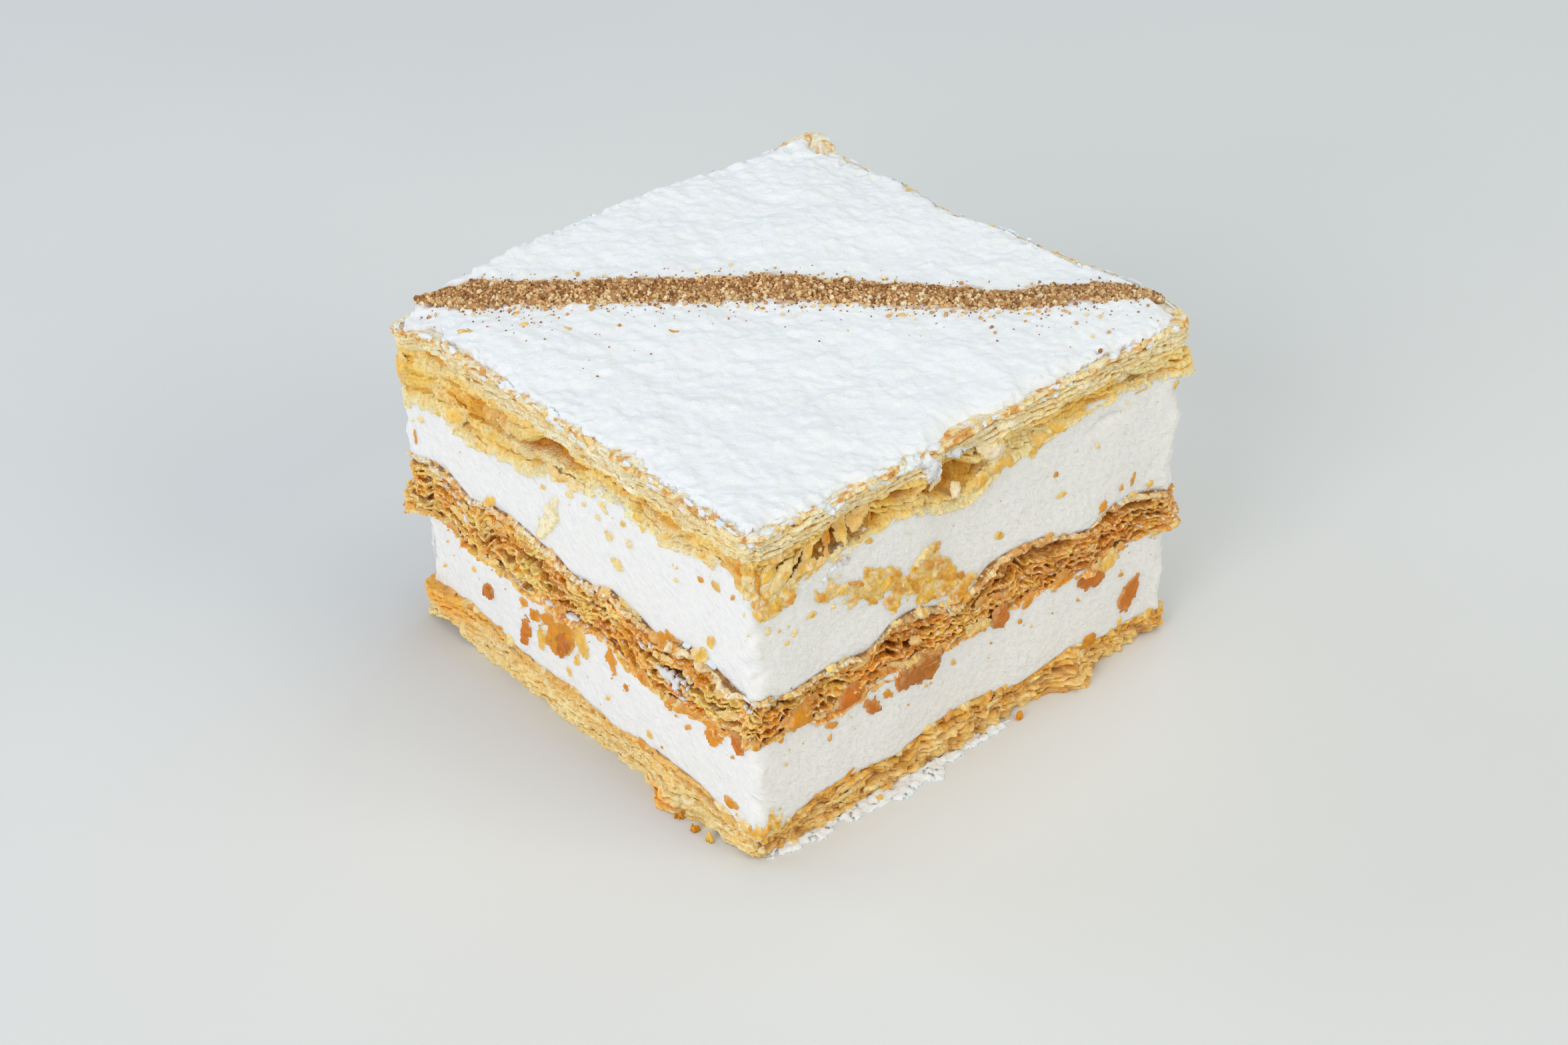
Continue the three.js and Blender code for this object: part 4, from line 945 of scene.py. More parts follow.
LOOKS = {
    "cream": colour(253, 238, 208), "pale": colour(252, 228, 166), "gold": colour(246, 198, 88),
    "smear": colour(248, 214, 138), "orange": colour(224, 148, 20), "brown": colour(206, 118, 8),
    "amber": colour(192, 114, 12), "tan": colour(242, 202, 126), "sugar": colour(250, 251, 252),
}
THICKNESS = dict(cream=0.34, pale=0.18, gold=0.22, smear=0.2, orange=0.26, brown=0.36, amber=0.55, tan=0.26,
                 sugar=0.6)
RIM_TONE = colour(250, 230, 176)
SHOWN, HIDDEN = (0.0, WIDTH + DEPTH), (WIDTH + DEPTH, PERIMETER)
RIM_DEPTH = -0.1                   # a flake is kept up to this far beyond its edge
SUNK, FILM_SUNK = 0.5, 0.4         # how deep the backs of flakes and of films sit in the side
COARSER = 1.7                      # grid of the flakes on the hidden sides


def plane_grid(low_u, high_u, low_v, high_v, step):
    return np.meshgrid(np.arange(low_u, high_u, step), np.arange(low_v, high_v, step), indexing="ij")


def turned(u, v, degrees):
    """Coordinates along and across a direction turned from the first axis."""
    c, s = math.cos(math.radians(degrees)), math.sin(math.radians(degrees))
    return u * c + v * s, v * c - u * s


def kept_cells(inside, whole):
    """Cells of a grid with every corner inside, or with any."""
    corners = (inside[:-1, :-1], inside[1:, :-1], inside[1:, 1:], inside[:-1, 1:])
    return np.logical_and.reduce(corners) if whole else np.logical_or.reduce(corners)


def closed_patch(over, under, kept, tint):
    """Closed mesh between two grids of points, over the cells that are kept."""
    m, n = kept.shape
    index = np.arange((m + 1) * (n + 1)).reshape(m + 1, n + 1)
    total = index.size
    a, b, c, d = index[:-1, :-1], index[1:, :-1], index[1:, 1:], index[:-1, 1:]
    faces = [np.stack([a, b, c, d], -1)[kept], np.stack([d, c, b, a], -1)[kept] + total]
    padded = np.pad(kept, 1)
    for first, second, di, dj in ((a, b, 0, -1), (b, c, 1, 0), (c, d, 0, 1), (d, a, -1, 0)):
        open_side = kept & ~padded[1 + di:1 + di + m, 1 + dj:1 + dj + n]
        faces.append(np.stack([second, first, first + total, second + total], -1)[open_side])
    used, faces = np.unique(np.concatenate(faces), return_inverse=True)
    points = np.concatenate([over.reshape(-1, 3), under.reshape(-1, 3)])
    tints = np.tile(np.broadcast_to(tint, (*over.shape[:-1], 3)).reshape(-1, 3), (2, 1))
    return points[used], faces.reshape(-1, 4), tints[used]


def side_patch(bag, t, z, height, sunk, kept, tint):
    """A patch on the side: this high over the visible side, with its back sunk into it."""
    wall = surface_out(t, z)
    point, normal = outline(t)
    over, under = (np.concatenate([point + normal * out[..., None], z[..., None]], -1)
                   for out in (wall + height, wall - sunk))
    bag.add(*closed_patch(over, under, kept, tint))


def flake(bag, t, z, long, wide, tilt, look, seed, ragged=0.3, proud=None):
    """A torn flake lying on the side: a many-cornered raised patch with a steep ragged edge."""
    rng = np.random.default_rng(seed)
    proud = THICKNESS[look] * rng.uniform(0.8, 1.2) if proud is None else proud
    step = min(0.34, max(0.2, wide / 8)) * (1.0 if 0 <= t % PERIMETER <= WIDTH + DEPTH else COARSER)
    n = int((0.66 * long + 0.5) / step) + 1
    grid = np.arange(-n, n + 1) * step
    u, v = np.meshgrid(grid, grid, indexing="ij")
    p, q = turned(u, v, tilt)
    a, b = long / 2, wide / 2
    sides = int(rng.integers(5, 8))
    ways = (np.arange(sides) + rng.uniform(-0.32, 0.32, sides)) * 2 * math.pi / sides + rng.uniform(0, 1)
    rims = rng.uniform(0.7, 1.0, sides)
    cornered = b * np.min([rim - (p / a * math.cos(way) + q / b * math.sin(way))
                           for rim, way in zip(rims, ways)], axis=0)
    oval = b * (1 - np.hypot(p / a, q / b))
    depth = mix(cornered, oval, min(0.7, 0.18 * a / b)) + ragged * min(b, 1.3) * cloud(p, q, 0.9, seed, 3)
    kept = kept_cells(depth > RIM_DEPTH, False)
    if not kept.any():
        return
    swell = smoothstep(-0.04, 0.3, depth)
    lean = rng.uniform(-0.35, 0.35) * p / a + rng.uniform(-0.45, 0.45) * q / b
    waves = 0.35 * proud * cloud(p * 0.6, q, max(0.7, 0.45 * b), seed + 7, 2)
    height = -0.25 + (proud * (1 + lean) + 0.25) * swell + waves * swell
    tone = LOOKS[look] * rng.uniform(0.92, 1.07)
    tone = tone * np.array([1.0, rng.uniform(0.95, 1.01), rng.uniform(0.88, 1.1)])
    tint = (1 + (0.02 if look == "sugar" else 0.12) * cloud(p, q, 1.1, seed + 11, 2))[..., None] * tone
    if look not in ("sugar", "cream"):
        browned = smoothstep(0.1, 0.9, cloud(p, q, 1.8, seed + 13, 2))
        tint = blend(tint, tint * [0.96, 0.9, 0.74], 0.8 * browned)
    if look != "sugar":
        thin = 1 - smoothstep(0.0, 0.5, depth + 0.12 * cloud(p, q, 0.8, seed + 17, 2))
        tint = blend(tint, RIM_TONE, (0.6 if look in ("cream", "pale", "gold") else 0.3) * thin)
    side_patch(bag, t + u, np.maximum(z + v, 0.05), height, SUNK, kept, tint)


def smear(bag, blobs, seed, step=0.24):
    """Thin uneven film of moist crumbs pressed on the cream, the union of several blobs."""
    rows = np.array(blobs)
    reach = rows[:, 2:4].max(axis=1)
    t_low, z_low = (rows[:, :2] - reach[:, None]).min(axis=0) - 1
    t_high, z_high = (rows[:, :2] + reach[:, None]).max(axis=0) + 1
    t, z = plane_grid(t_low, t_high, z_low, z_high, step)
    t_warped, z_warped = t + 1.1 * cloud(t, z, 3.0, seed + 21, 2), z + 1.1 * cloud(t, z, 3.0, seed + 23, 2)
    depth = np.full(t.shape, -9.0)
    for at, height, a, b, tilt in blobs:
        p, q = turned(t_warped - at, z_warped - height, tilt)
        depth = np.maximum(depth, min(a, b) * (1 - np.hypot(p / a, q / b)))
    depth = depth + 0.7 * cloud(t, z, 2.2, seed, 2) + 0.75 * cloud(t, z, 0.9, seed + 1, 2)
    body = smoothstep(-0.1, 0.7, depth)
    ridges = cloud(t * 0.9 + z, z * 0.5 - 0.4 * t, 1.1, seed + 3, 3)
    thick = smoothstep(0.0, 1.0, depth + 1.3 * cloud(t, z, 2.0, seed + 5, 3) - 0.3)
    spots = smoothstep(0.0, 0.8, 0.8 * cloud(t, z, 2.4, seed + 7, 3) - ridges) * body
    crumb = smoothstep(0.1, 0.7, cloud(t, z, 0.8, seed + 9, 2))
    tint = blend(RIM_TONE, LOOKS["smear"], smoothstep(-0.1, 0.9, depth))
    for look, share in (("gold", thick), ("orange", 0.75 * spots), ("cream", 0.6 * crumb)):
        tint = blend(tint, LOOKS[look], share)
    height = -0.2 + body * (0.28 + 0.6 * np.abs(ridges))
    side_patch(bag, t, z, height, SUNK, kept_cells(depth > RIM_DEPTH, False), tint)


def lying_flake(bag, x, y, long, wide, turn, look, seed, ground, thick=0.14):
    """A torn flake lying on the powder or on the floor."""
    step = max(0.12, wide / 12)
    grid = np.arange(-0.7 * long, 0.7 * long + step, step)
    u, v = np.meshgrid(grid, grid, indexing="ij")
    p, q = turned(u, v, turn)
    depth = wide / 2 * (1 - np.hypot(p / long, q / wide) * 2)
    depth = depth + 0.3 * wide * cloud(p, q, 0.5 * wide + 0.2, seed, 3)
    height = thick * smoothstep(0.0, 0.25 * wide, depth) * (1 + 0.6 * cloud(p, q, 0.7, seed + 3, 2))
    base = ground(x + u, y + v)
    tint = (1 + 0.12 * cloud(p, q, 0.8, seed + 5, 2))[..., None] * LOOKS[look]
    over, under = (np.stack([x + u, y + v, z], -1) for z in (base + height, base - 0.12))
    bag.add(*closed_patch(over, under, kept_cells(depth > 0, True), tint))


def sugar_film(bag, t_at, z_at, long, wide, tilt, seed, step=0.17):
    """Sugar dusted on a side: a thin film full of holes, thickest at its heart."""
    u, v = plane_grid(-1.4 * long, 1.4 * long, -1.6 * wide, 1.6 * wide, step)
    along, up = turned(u, v, -tilt)
    depth = wide * (1 - np.hypot(u / long, v / wide)) + 0.6 * cloud(u, v, 1.2, seed, 2)
    holes = cloud(u, v, 0.6, seed + 3, 2) - 0.5 * depth
    rough = 0.3 * smoothstep(0, 1.2, depth) * np.abs(cloud(u, v, 0.7, seed + 5, 2))
    height = 0.16 + rough - 0.2 * smoothstep(-0.3, 0.05, holes)
    dust = np.array([1.0, 0, 0]) * (0.18 + 0.3 * smoothstep(-0.4, 0.0, holes))[..., None]
    kept = kept_cells((depth > 0) & (holes < 0.05), True)
    side_patch(bag, t_at + along, z_at + up, height, FILM_SUNK, kept, dust)


def floor_sugar(bag, blobs, seed, step=0.25):
    """A thin cracked film of sugar at the foot of the slice, the union of several blobs."""
    places = [row[0] for row in blobs]
    t, out = plane_grid(min(places) - 6, max(places) + 6, -2.0, 4.2, step)
    depth = np.full(t.shape, -9.0)
    for at, away, a, b in blobs:
        depth = np.maximum(depth, b * (1 - np.hypot((t - at) / a, (out - away) / b)))
    depth = depth + 0.7 * cloud(t, out, 1.8, seed, 3)
    cracks = np.abs(cloud(t, out, 1.6, seed + 5, 2))
    height = (0.06 + 0.4 * smoothstep(0.0, 0.7, depth)) * smoothstep(0.0, 0.16, cracks)
    height = height * (1 + 0.4 * cloud(t, out, 0.9, seed + 3, 2))
    point, normal = outline(t)
    over = np.concatenate([point + normal * out[..., None], np.maximum(height, 0.03)[..., None]], -1)
    under = over * [1, 1, 0] + [0, 0, 0.01]
    bag.add(*closed_patch(over, under, kept_cells((depth > 0) & (cracks > 0.02), True), np.zeros(3)))


def scatter_along(bag, count, level, spread, lengths, widths, looks, seed, span=(0.0, PERIMETER), tilts=40,
                  prouds=(0.12, 0.34)):
    """Random small flakes following a boundary whose heights are given per sample."""
    rng = np.random.default_rng(seed)
    for i in range(count):
        t = rng.uniform(*span)
        z = float(along_outline(level, t)) + rng.uniform(*spread)
        long = rng.uniform(*lengths)
        wide = min(long, rng.uniform(*widths))
        flake(bag, t, z, long, wide, rng.uniform(-tilts, tilts), str(rng.choice(looks.split())), seed + i,
              proud=rng.uniform(*prouds))


def placed(bag, make, rows, seed, *more, **settings):
    """One piece for each row of a table, each with a seed of its own."""
    for number, row in enumerate(rows):
        make(bag, *row, seed + 13 * number, *more, **settings)


# Sugar at the foot: distance along the outline, distance out, half length, half width.
FLOOR_SUGAR = [
    (85.5, -0.1, 4.6, 1.2), (91.0, 0.2, 4.2, 1.2), (97.0, 0.2, 4.8, 1.5), (102.5, 0.7, 4.2, 1.9),
    (107.5, 1.1, 4.2, 2.2), (112.0, 1.2, 4.0, 2.0), (116.5, 0.9, 3.6, 1.5), (120.5, 0.6, 3.4, 1.2),
    (125.5, 0.4, 3.4, 1.0),
]

# Loose flakes, as distance along the outline, height, length, width, tilt and look.
LEFT_UPPER_FLAKES = [
    (35.7, 35.6, 11.8, 3.3, 60, "cream"), (41.2, 42.1, 3.5, 1.5, 15, "pale"),
    (34.7, 40.3, 1.6, 1.1, -20, "gold"), (44.5, 42.3, 1.4, 1.0, 5, "pale"),
    (47.4, 41.6, 1.8, 1.3, 50, "pale"), (49.7, 39.7, 3.1, 2.2, 35, "pale"),
    (51.2, 35.6, 3.4, 2.4, 60, "pale"), (54.3, 40.6, 1.7, 1.4, 45, "cream"),
    (49.1, 44.4, 2.7, 2.3, 45, "pale"), (60.9, 44.0, 1.8, 1.6, 55, "gold"),
    (62.5, 46.3, 2.2, 1.1, 25, "gold"), (63.3, 41.8, 1.0, 0.8, 45, "pale"),
    (69.0, 42.3, 1.5, 1.4, 45, "orange"), (71.7, 42.8, 2.3, 2.1, 40, "gold"),
    (63.9, 38.7, 0.8, 0.6, 45, "pale"), (75.5, 42.9, 2.4, 0.9, 45, "orange"),
    (71.6, 46.4, 2.8, 2.2, 35, "pale"), (79.0, 46.5, 4.5, 4.1, 35, "pale"),
    (5.6, 38.2, 2.4, 1.4, 15, "pale"), (-0.5, 33.6, 1.7, 0.7, 25, "orange"),
    (3.4, 34.4, 3.8, 1.0, 88, "orange"), (14.6, 43.0, 5.4, 2.4, 24, "gold"),
    (78.8, 45.8, 4.0, 2.0, 85, "pale"), (77.4, 48.4, 3.2, 2.0, 70, "orange"),
    (81.6, 46.6, 4.2, 1.5, 88, "orange"), (1.6, 45.6, 5.0, 2.6, 80, "gold"),
    (70.2, 32.7, 2.7, 1.6, 45, "gold"), (61.3, 28.3, 6.0, 2.6, 10, "orange"),
    (68.4, 29.8, 2.4, 2.1, -80, "gold"), (21.2, 31.4, 3.3, 1.9, 35, "gold"),
    (53.0, 43.4, 1.7, 1.1, 5, "gold"), (41.6, 43.9, 4.4, 2.0, 10, "pale"),
]
LEFT_LOWER_FLAKES = [
    (18.1, 13.6, 3.8, 2.9, 60, "brown"), (14.6, 15.6, 1.9, 1.4, 40, "gold"),
    (8.4, 14.7, 1.3, 0.6, 25, "gold"), (5.1, 10.9, 2.0, 0.7, 30, "gold"),
    (22.6, 16.2, 1.4, 0.6, 30, "orange"), (27.2, 16.2, 2.5, 1.7, -10, "orange"),
    (26.9, 10.9, 7.2, 2.7, 66, "brown"), (29.7, 15.5, 3.4, 2.8, 35, "orange"),
    (30.9, 12.0, 5.4, 2.7, 75, "gold"), (41.0, 16.6, 7.0, 4.4, -80, "gold"),
    (35.4, 14.4, 9.6, 6.2, 45, "orange"), (36.2, 13.6, 6.6, 4.6, 50, "brown"),
    (33.0, 16.2, 4.6, 3.0, 20, "orange"), (39.6, 12.9, 3.8, 2.3, 60, "gold"),
    (37.6, 17.2, 5.0, 2.4, -10, "orange"), (37.5, 9.4, 2.0, 1.8, 45, "gold"),
    (42.0, 10.9, 1.3, 0.5, 30, "gold"), (48.2, 17.6, 5.6, 2.5, -85, "orange"),
    (51.6, 14.6, 2.0, 1.8, -20, "orange"), (46.8, 9.9, 1.9, 0.8, 30, "gold"),
    (56.3, 8.8, 2.2, 1.9, -20, "gold"), (59.0, 8.1, 1.3, 1.0, 35, "orange"),
    (65.0, 15.4, 1.8, 1.2, 45, "orange"), (70.7, 17.4, 5.6, 4.4, 60, "orange"),
    (75.7, 18.6, 4.6, 3.2, -60, "brown"), (74.4, 15.7, 1.7, 1.2, 45, "orange"),
    (80.1, 20.3, 1.6, 1.2, -80, "orange"), (73.6, 6.8, 3.7, 2.2, 10, "orange"),
    (61.6, 16.7, 1.1, 0.8, 55, "orange"), (63.4, 16.3, 1.2, 0.5, 30, "gold"),
    (77.4, 12.0, 0.9, 0.4, 30, "gold"), (45.1, 7.9, 1.1, 0.5, 30, "gold"),
]
RIGHT_UPPER_FLAKES = [
    (126.4, 33.5, 1.9, 1.4, -45, "gold"), (137.3, 38.9, 1.4, 1.0, -40, "orange"),
    (138.4, 34.8, 2.7, 1.1, -10, "gold"), (145.6, 40.0, 1.4, 1.1, -40, "pale"),
    (153.9, 30.6, 3.0, 1.3, 75, "orange"), (151.3, 30.3, 1.5, 1.2, -55, "orange"),
    (147.1, 28.9, 2.8, 2.4, 0, "orange"), (157.6, 28.2, 1.8, 1.5, -40, "gold"),
    (125.0, 31.6, 1.8, 0.7, -25, "pale"), (122.2, 34.7, 0.7, 0.4, -25, "orange"),
    (161.5, 43.9, 2.0, 1.9, 85, "gold"), (124.1, 48.6, 4.2, 3.0, -35, "cream"),
    (117.1, 45.3, 1.9, 1.6, 5, "cream"), (150.0, 49.2, 2.4, 1.8, -30, "cream"),
    (125.5, 45.7, 5.6, 3.4, 5, "gold"), (134.4, 45.8, 4.7, 2.8, 5, "gold"),
    (83.3, 38.5, 1.5, 1.4, -45, "pale"), (85.3, 37.5, 1.1, 0.9, -45, "gold"),
    (87.8, 36.1, 2.0, 1.3, 55, "pale"), (90.9, 37.4, 1.8, 1.1, -10, "gold"),
    (86.4, 35.0, 1.0, 0.9, 65, "gold"), (119.1, 29.9, 1.9, 1.6, -45, "orange"),
    (121.6, 45.0, 3.4, 1.8, 40, "gold"), (100.8, 36.6, 7.4, 3.4, -28, "smear"),
    (99.8, 38.1, 5.4, 1.1, -28, "orange"), (85.4, 45.6, 6.6, 2.4, 38, "pale"),
    (83.6, 47.4, 3.6, 1.8, 60, "gold"), (90.6, 47.6, 4.6, 1.7, 80, "gold"),
    (94.6, 48.6, 4.8, 1.5, 76, "orange"), (97.4, 48.0, 4.4, 1.8, 80, "gold"),
    (100.4, 48.6, 3.8, 1.9, 60, "tan"),
]
RIGHT_LOWER_FLAKES = [
    (94.3, 17.0, 3.1, 1.5, -30, "orange"), (94.0, 15.0, 1.9, 1.3, 65, "orange"),
    (85.2, 19.3, 2.3, 1.4, 75, "orange"), (86.8, 16.5, 1.6, 1.0, 30, "gold"),
    (80.1, 20.2, 2.0, 0.8, -80, "orange"), (96.0, 14.8, 0.9, 0.5, -30, "gold"),
    (101.7, 16.4, 4.0, 3.0, -50, "brown"), (104.7, 17.1, 3.1, 2.2, -50, "orange"),
    (106.9, 13.7, 0.8, 0.5, -30, "gold"), (108.7, 12.9, 1.0, 0.6, -30, "orange"),
    (110.6, 18.2, 9.6, 4.6, 6, "amber"), (107.6, 17.6, 4.2, 3.2, -35, "brown"),
    (112.4, 16.8, 4.6, 2.6, 20, "amber"), (115.0, 18.8, 3.8, 2.6, 50, "orange"),
    (109.4, 19.6, 5.0, 2.2, 0, "tan"), (112.4, 14.1, 1.2, 0.7, -10, "gold"),
    (127.2, 19.1, 4.7, 3.6, -50, "brown"), (131.0, 16.3, 1.5, 1.2, -55, "orange"),
    (120.7, 18.7, 1.3, 1.1, 30, "orange"), (125.1, 12.5, 0.8, 0.5, -25, "gold"),
    (155.0, 9.6, 6.6, 4.6, 62, "brown"), (145.7, 16.6, 5.7, 3.8, 5, "brown"),
    (152.6, 14.2, 1.4, 0.9, -25, "orange"), (149.1, 17.8, 4.9, 3.0, 15, "gold"),
    (146.0, 5.2, 4.0, 2.6, 15, "orange"), (151.6, 3.8, 2.4, 1.6, -50, "gold"),
    (153.2, 5.1, 2.6, 1.3, 80, "gold"), (113.2, 6.1, 2.5, 1.2, -10, "gold"),
    (128.5, 5.4, 1.5, 1.4, -35, "gold"), (117.9, 15.4, 1.7, 1.4, -65, "gold"),
    (97.5, 20.4, 5.2, 3.6, 0, "brown"), (88.4, 21.4, 5.5, 3.2, 0, "orange"),
]
# Moist yellow crumbs smeared on the cream and by the foot: blobs as place, height, half sizes and tilt.
SMEARS = [
    [(96.0, 38.8, 5.2, 1.9, -24), (101.4, 36.4, 5.2, 3.0, -32), (106.0, 35.2, 4.2, 2.0, -20)],
    [(108.4, 33.8, 4.6, 2.0, -8), (112.6, 32.6, 3.8, 3.2, 0), (113.4, 35.6, 1.3, 3.4, 0),
     (116.4, 30.4, 3.4, 2.4, -40), (118.6, 28.2, 2.8, 2.2, -30), (110.4, 35.4, 2.2, 1.2, 30),
     (113.6, 29.4, 5.0, 2.6, 0), (118.8, 26.6, 2.6, 1.6, 0)],
    [(86.0, 42.8, 4.8, 1.7, 18), (83.2, 41.8, 2.4, 1.5, 30), (89.4, 44.2, 3.0, 1.6, 20),
     (82.2, 44.6, 1.9, 3.4, 0)],
    [(80.6, 5.6, 4.0, 2.0, 5), (76.6, 5.8, 2.6, 1.5, -20)],
]
# Flakes on the powder and crumbs at the foot: place, length, width, turn and look.
POWDER_FLAKES = [
    (-27.0, -38.0, 2.9, 1.3, 40, "tan"), (-17.2, -26.8, 2.3, 1.3, 20, "tan"),
    (-30.4, -15.3, 3.4, 0.9, 70, "cream"), (-6.2, -16.6, 2.2, 0.7, 30, "orange"),
    (-22.4, -30.9, 1.6, 0.8, 30, "tan"), (-25.2, -35.2, 0.9, 0.5, 10, "brown"),
    (-12.6, -21.2, 0.8, 0.5, 20, "orange"), (-34.6, -31.6, 2.4, 0.9, 30, "tan"),
    (12.0, 10.6, 1.8, 0.9, 60, "tan"), (24.0, 24.5, 1.4, 0.8, 20, "tan"),
    (-3.0, -2.6, 1.2, 0.7, 0, "orange"),
]
FOOT_CRUMBS = [
    (28.4, -43.6, 1.6, 1.2, 20, "orange"), (31.4, -43.4, 1.3, 1.0, 50, "gold"),
    (24.6, -43.3, 1.5, 1.0, 0, "orange"), (40.9, -20.0, 1.2, 0.8, 30, "gold"),
    (41.2, 8.0, 1.4, 0.9, 70, "orange"),
]
# Clumps of sugar on the right side, with the columns of the loose flakes.
CLUMPS = [
    (95.4, 43.2, 3.2, 1.1, 24, "sugar"), (93.2, 42.0, 1.6, 0.9, -10, "sugar"),
    (95.2, 52.6, 3.0, 1.7, -10, "sugar"), (111.4, 52.4, 4.4, 2.2, -20, "sugar"),
    (113.0, 49.8, 1.8, 2.2, -20, "sugar"), (109.0, 53.6, 3.2, 1.2, -20, "sugar"),
]
# Thin porous films of sugar on the sides: place, height, half length, half width and tilt.
SUGAR_FILMS = [
    (62.8, 22.8, 3.4, 1.7, -8), (57.4, 25.3, 1.5, 0.6, 10), (66.0, 24.4, 1.7, 0.6, -30),
    (12.4, 21.0, 1.6, 0.9, 30), (9.6, 29.0, 2.0, 0.5, -40), (13.4, 26.6, 2.0, 0.6, -55),
    (96.2, 43.4, 2.8, 0.8, 24), (118.0, 26.8, 1.8, 0.7, 10), (78.4, 26.2, 1.2, 0.6, 0),
    (112.0, 50.6, 2.2, 1.3, -20), (99.8, 46.4, 1.4, 0.4, 40),
]

loose = Scatter()
placed(loose, flake, LEFT_UPPER_FLAKES + LEFT_LOWER_FLAKES + RIGHT_UPPER_FLAKES + RIGHT_LOWER_FLAKES, 400)
placed(loose, smear, [[blobs] for blobs in SMEARS], 900)
scatter_along(loose, 60, UPPER_TOP, (-8, -1), (0.4, 1.1), (0.3, 0.8), "gold pale pale", 2100, SHOWN,
              90, (0.25, 0.45))
scatter_along(loose, 80, CRUST, (-1.3, -0.1), (0.5, 1.9), (0.3, 0.8), "orange gold gold tan", 2150, SHOWN,
              30, (0.12, 0.35))
scatter_along(loose, 60, LOWER_TOP, (-6, -1), (0.4, 1.1), (0.3, 0.8), "gold orange", 2200, SHOWN,
              90, (0.25, 0.45))
placed(loose, lying_flake, POWDER_FLAKES, 1900, powder_height)
placed(loose, lying_flake, FOOT_CRUMBS, 2000, lambda x, y: np.full(np.shape(x), 0.13), 0.9)
loose.build("loose_flakes", "pastry_middle")

# Strewn flakes: how many, boundary, heights about it, lengths, widths, looks, seed, tilts, thicknesses.
FRINGE_ROWS = [                    # shreds that hang over the boundaries
    (22, UPPER_TOP, (-0.9, 0.6), (2.0, 6.0), (1.0, 2.6), "gold pale", 2300, 40, (0.1, 0.22)),
    (40, LOWER_TOP, (-0.7, 0.8), (1.6, 4.6), (0.8, 2.0), "gold orange orange tan", 2400, 40, (0.12, 0.34)),
    (24, UPPER_LOW, (-0.5, 0.4), (0.8, 2.6), (0.5, 1.2), "tan gold orange", 2500, 40, (0.12, 0.34)),
    (36, LOWER_LOW, (-0.7, 0.4), (1.2, 3.4), (0.6, 1.6), "gold pale orange", 2600, 40, (0.12, 0.34)),
]
WALL_ROWS = [                      # flakes on the sides of the sheets themselves
    (14, UPPER_TOP + 5, (-1.0, 2.4), (1.4, 4.0), (0.6, 1.5), "cream", 2700, 14, (0.08, 0.2)),
    (26, (UPPER_LOW + LOWER_TOP) / 2, (-2.8, 2.6), (1.2, 3.6), (0.5, 1.3), "tan orange gold", 2900, 20,
     (0.12, 0.34)),
    (36, LOWER_LOW / 2, (-1.6, 1.6), (1.2, 3.6), (0.4, 1.1), "pale gold tan", 3000, 16, (0.08, 0.24)),
]
for name, slot, rows, hidden_share in (("fringe_flakes", "pastry_top", FRINGE_ROWS, 1.4),
                                       ("wall_flakes", "pastry_bottom", WALL_ROWS, 1.2)):
    strewn = Scatter()
    for span, share in ((SHOWN, 1.0), (HIDDEN, hidden_share)):
        for count, *row, tilts, prouds in rows:
            scatter_along(strewn, int(count * share), *row, span, tilts, prouds)
    strewn.build(name, slot)

clumps = Scatter()
placed(clumps, flake, CLUMPS, 1500, ragged=0.6)
scatter_along(clumps, 150, CRUST, (-1.3, 0.0), (0.5, 2.6), (0.3, 0.9), "sugar", 3100, tilts=20,
              prouds=(0.1, 0.35))
scatter_along(clumps, 50, UPPER_LOW, (-1.2, 0.2), (0.4, 1.6), (0.3, 0.6), "sugar", 3200)
floor_sugar(clumps, FLOOR_SUGAR, 3300)
clumps.tints = [np.zeros_like(block) for block in clumps.tints]   # no cinnamon dust on them
clumps.build("sugar_clumps", "powdered_sugar")

films = Scatter()
placed(films, sugar_film, SUGAR_FILMS, 3400)
films.build("sugar_films", "powdered_sugar")


# ---------------------------------------------------------------- cinnamon and coarse sugar
LINE_POINTS = 600
GRAINS, CRYSTALS, STREWN, SPECKS = 4300, 620, 380, 2300


def bank(share):
    """Rounded profile of the line: 1 in the middle, 0 at its edges."""
    return np.clip(1 - np.abs(share) ** 2.6, 0, 1) ** 0.6


def cinnamon_line():
    """The low bank of cinnamon sugar under its grains."""
    count, across = 300, 27
    at, centre, side = line_places(count)
    half = line_half_width(at)
    v = np.linspace(-1.25, 1.25, across)
    side_noise = np.sign(v)[None] * 7 + 0 * at[:, None]
    edge = 0.94 + 0.26 * cloud(at[:, None], side_noise, 2.4, 821, 3)
    edge = edge + 0.16 * cloud(at[:, None], side_noise, 0.8, 826, 2)
    place = centre[:, None] + side[:, None] * (v[None] * half[:, None])[..., None]
    x, y = place[..., 0], place[..., 1]
    share = np.abs(v[None] / edge)
    grain = 0.16 * cloud(x, y, 1.0, 831, 2)
    z = powder_height(x, y) - 0.1 + 0.75 * bank(share) + grain * (share < 1) - 0.4 * (share > 1)
    over = np.stack([x, y, z], -1)
    under = over - [0, 0, 1.3]
    under[..., 2] = np.minimum(under[..., 2], CRUST_TOP(x, y) + 0.1)
    points, faces, _ = closed_patch(over, under, np.ones((count - 1, across - 1), bool), np.zeros(3))
    build("cinnamon_line", points, faces, None, ("cinnamon_sugar_line",))


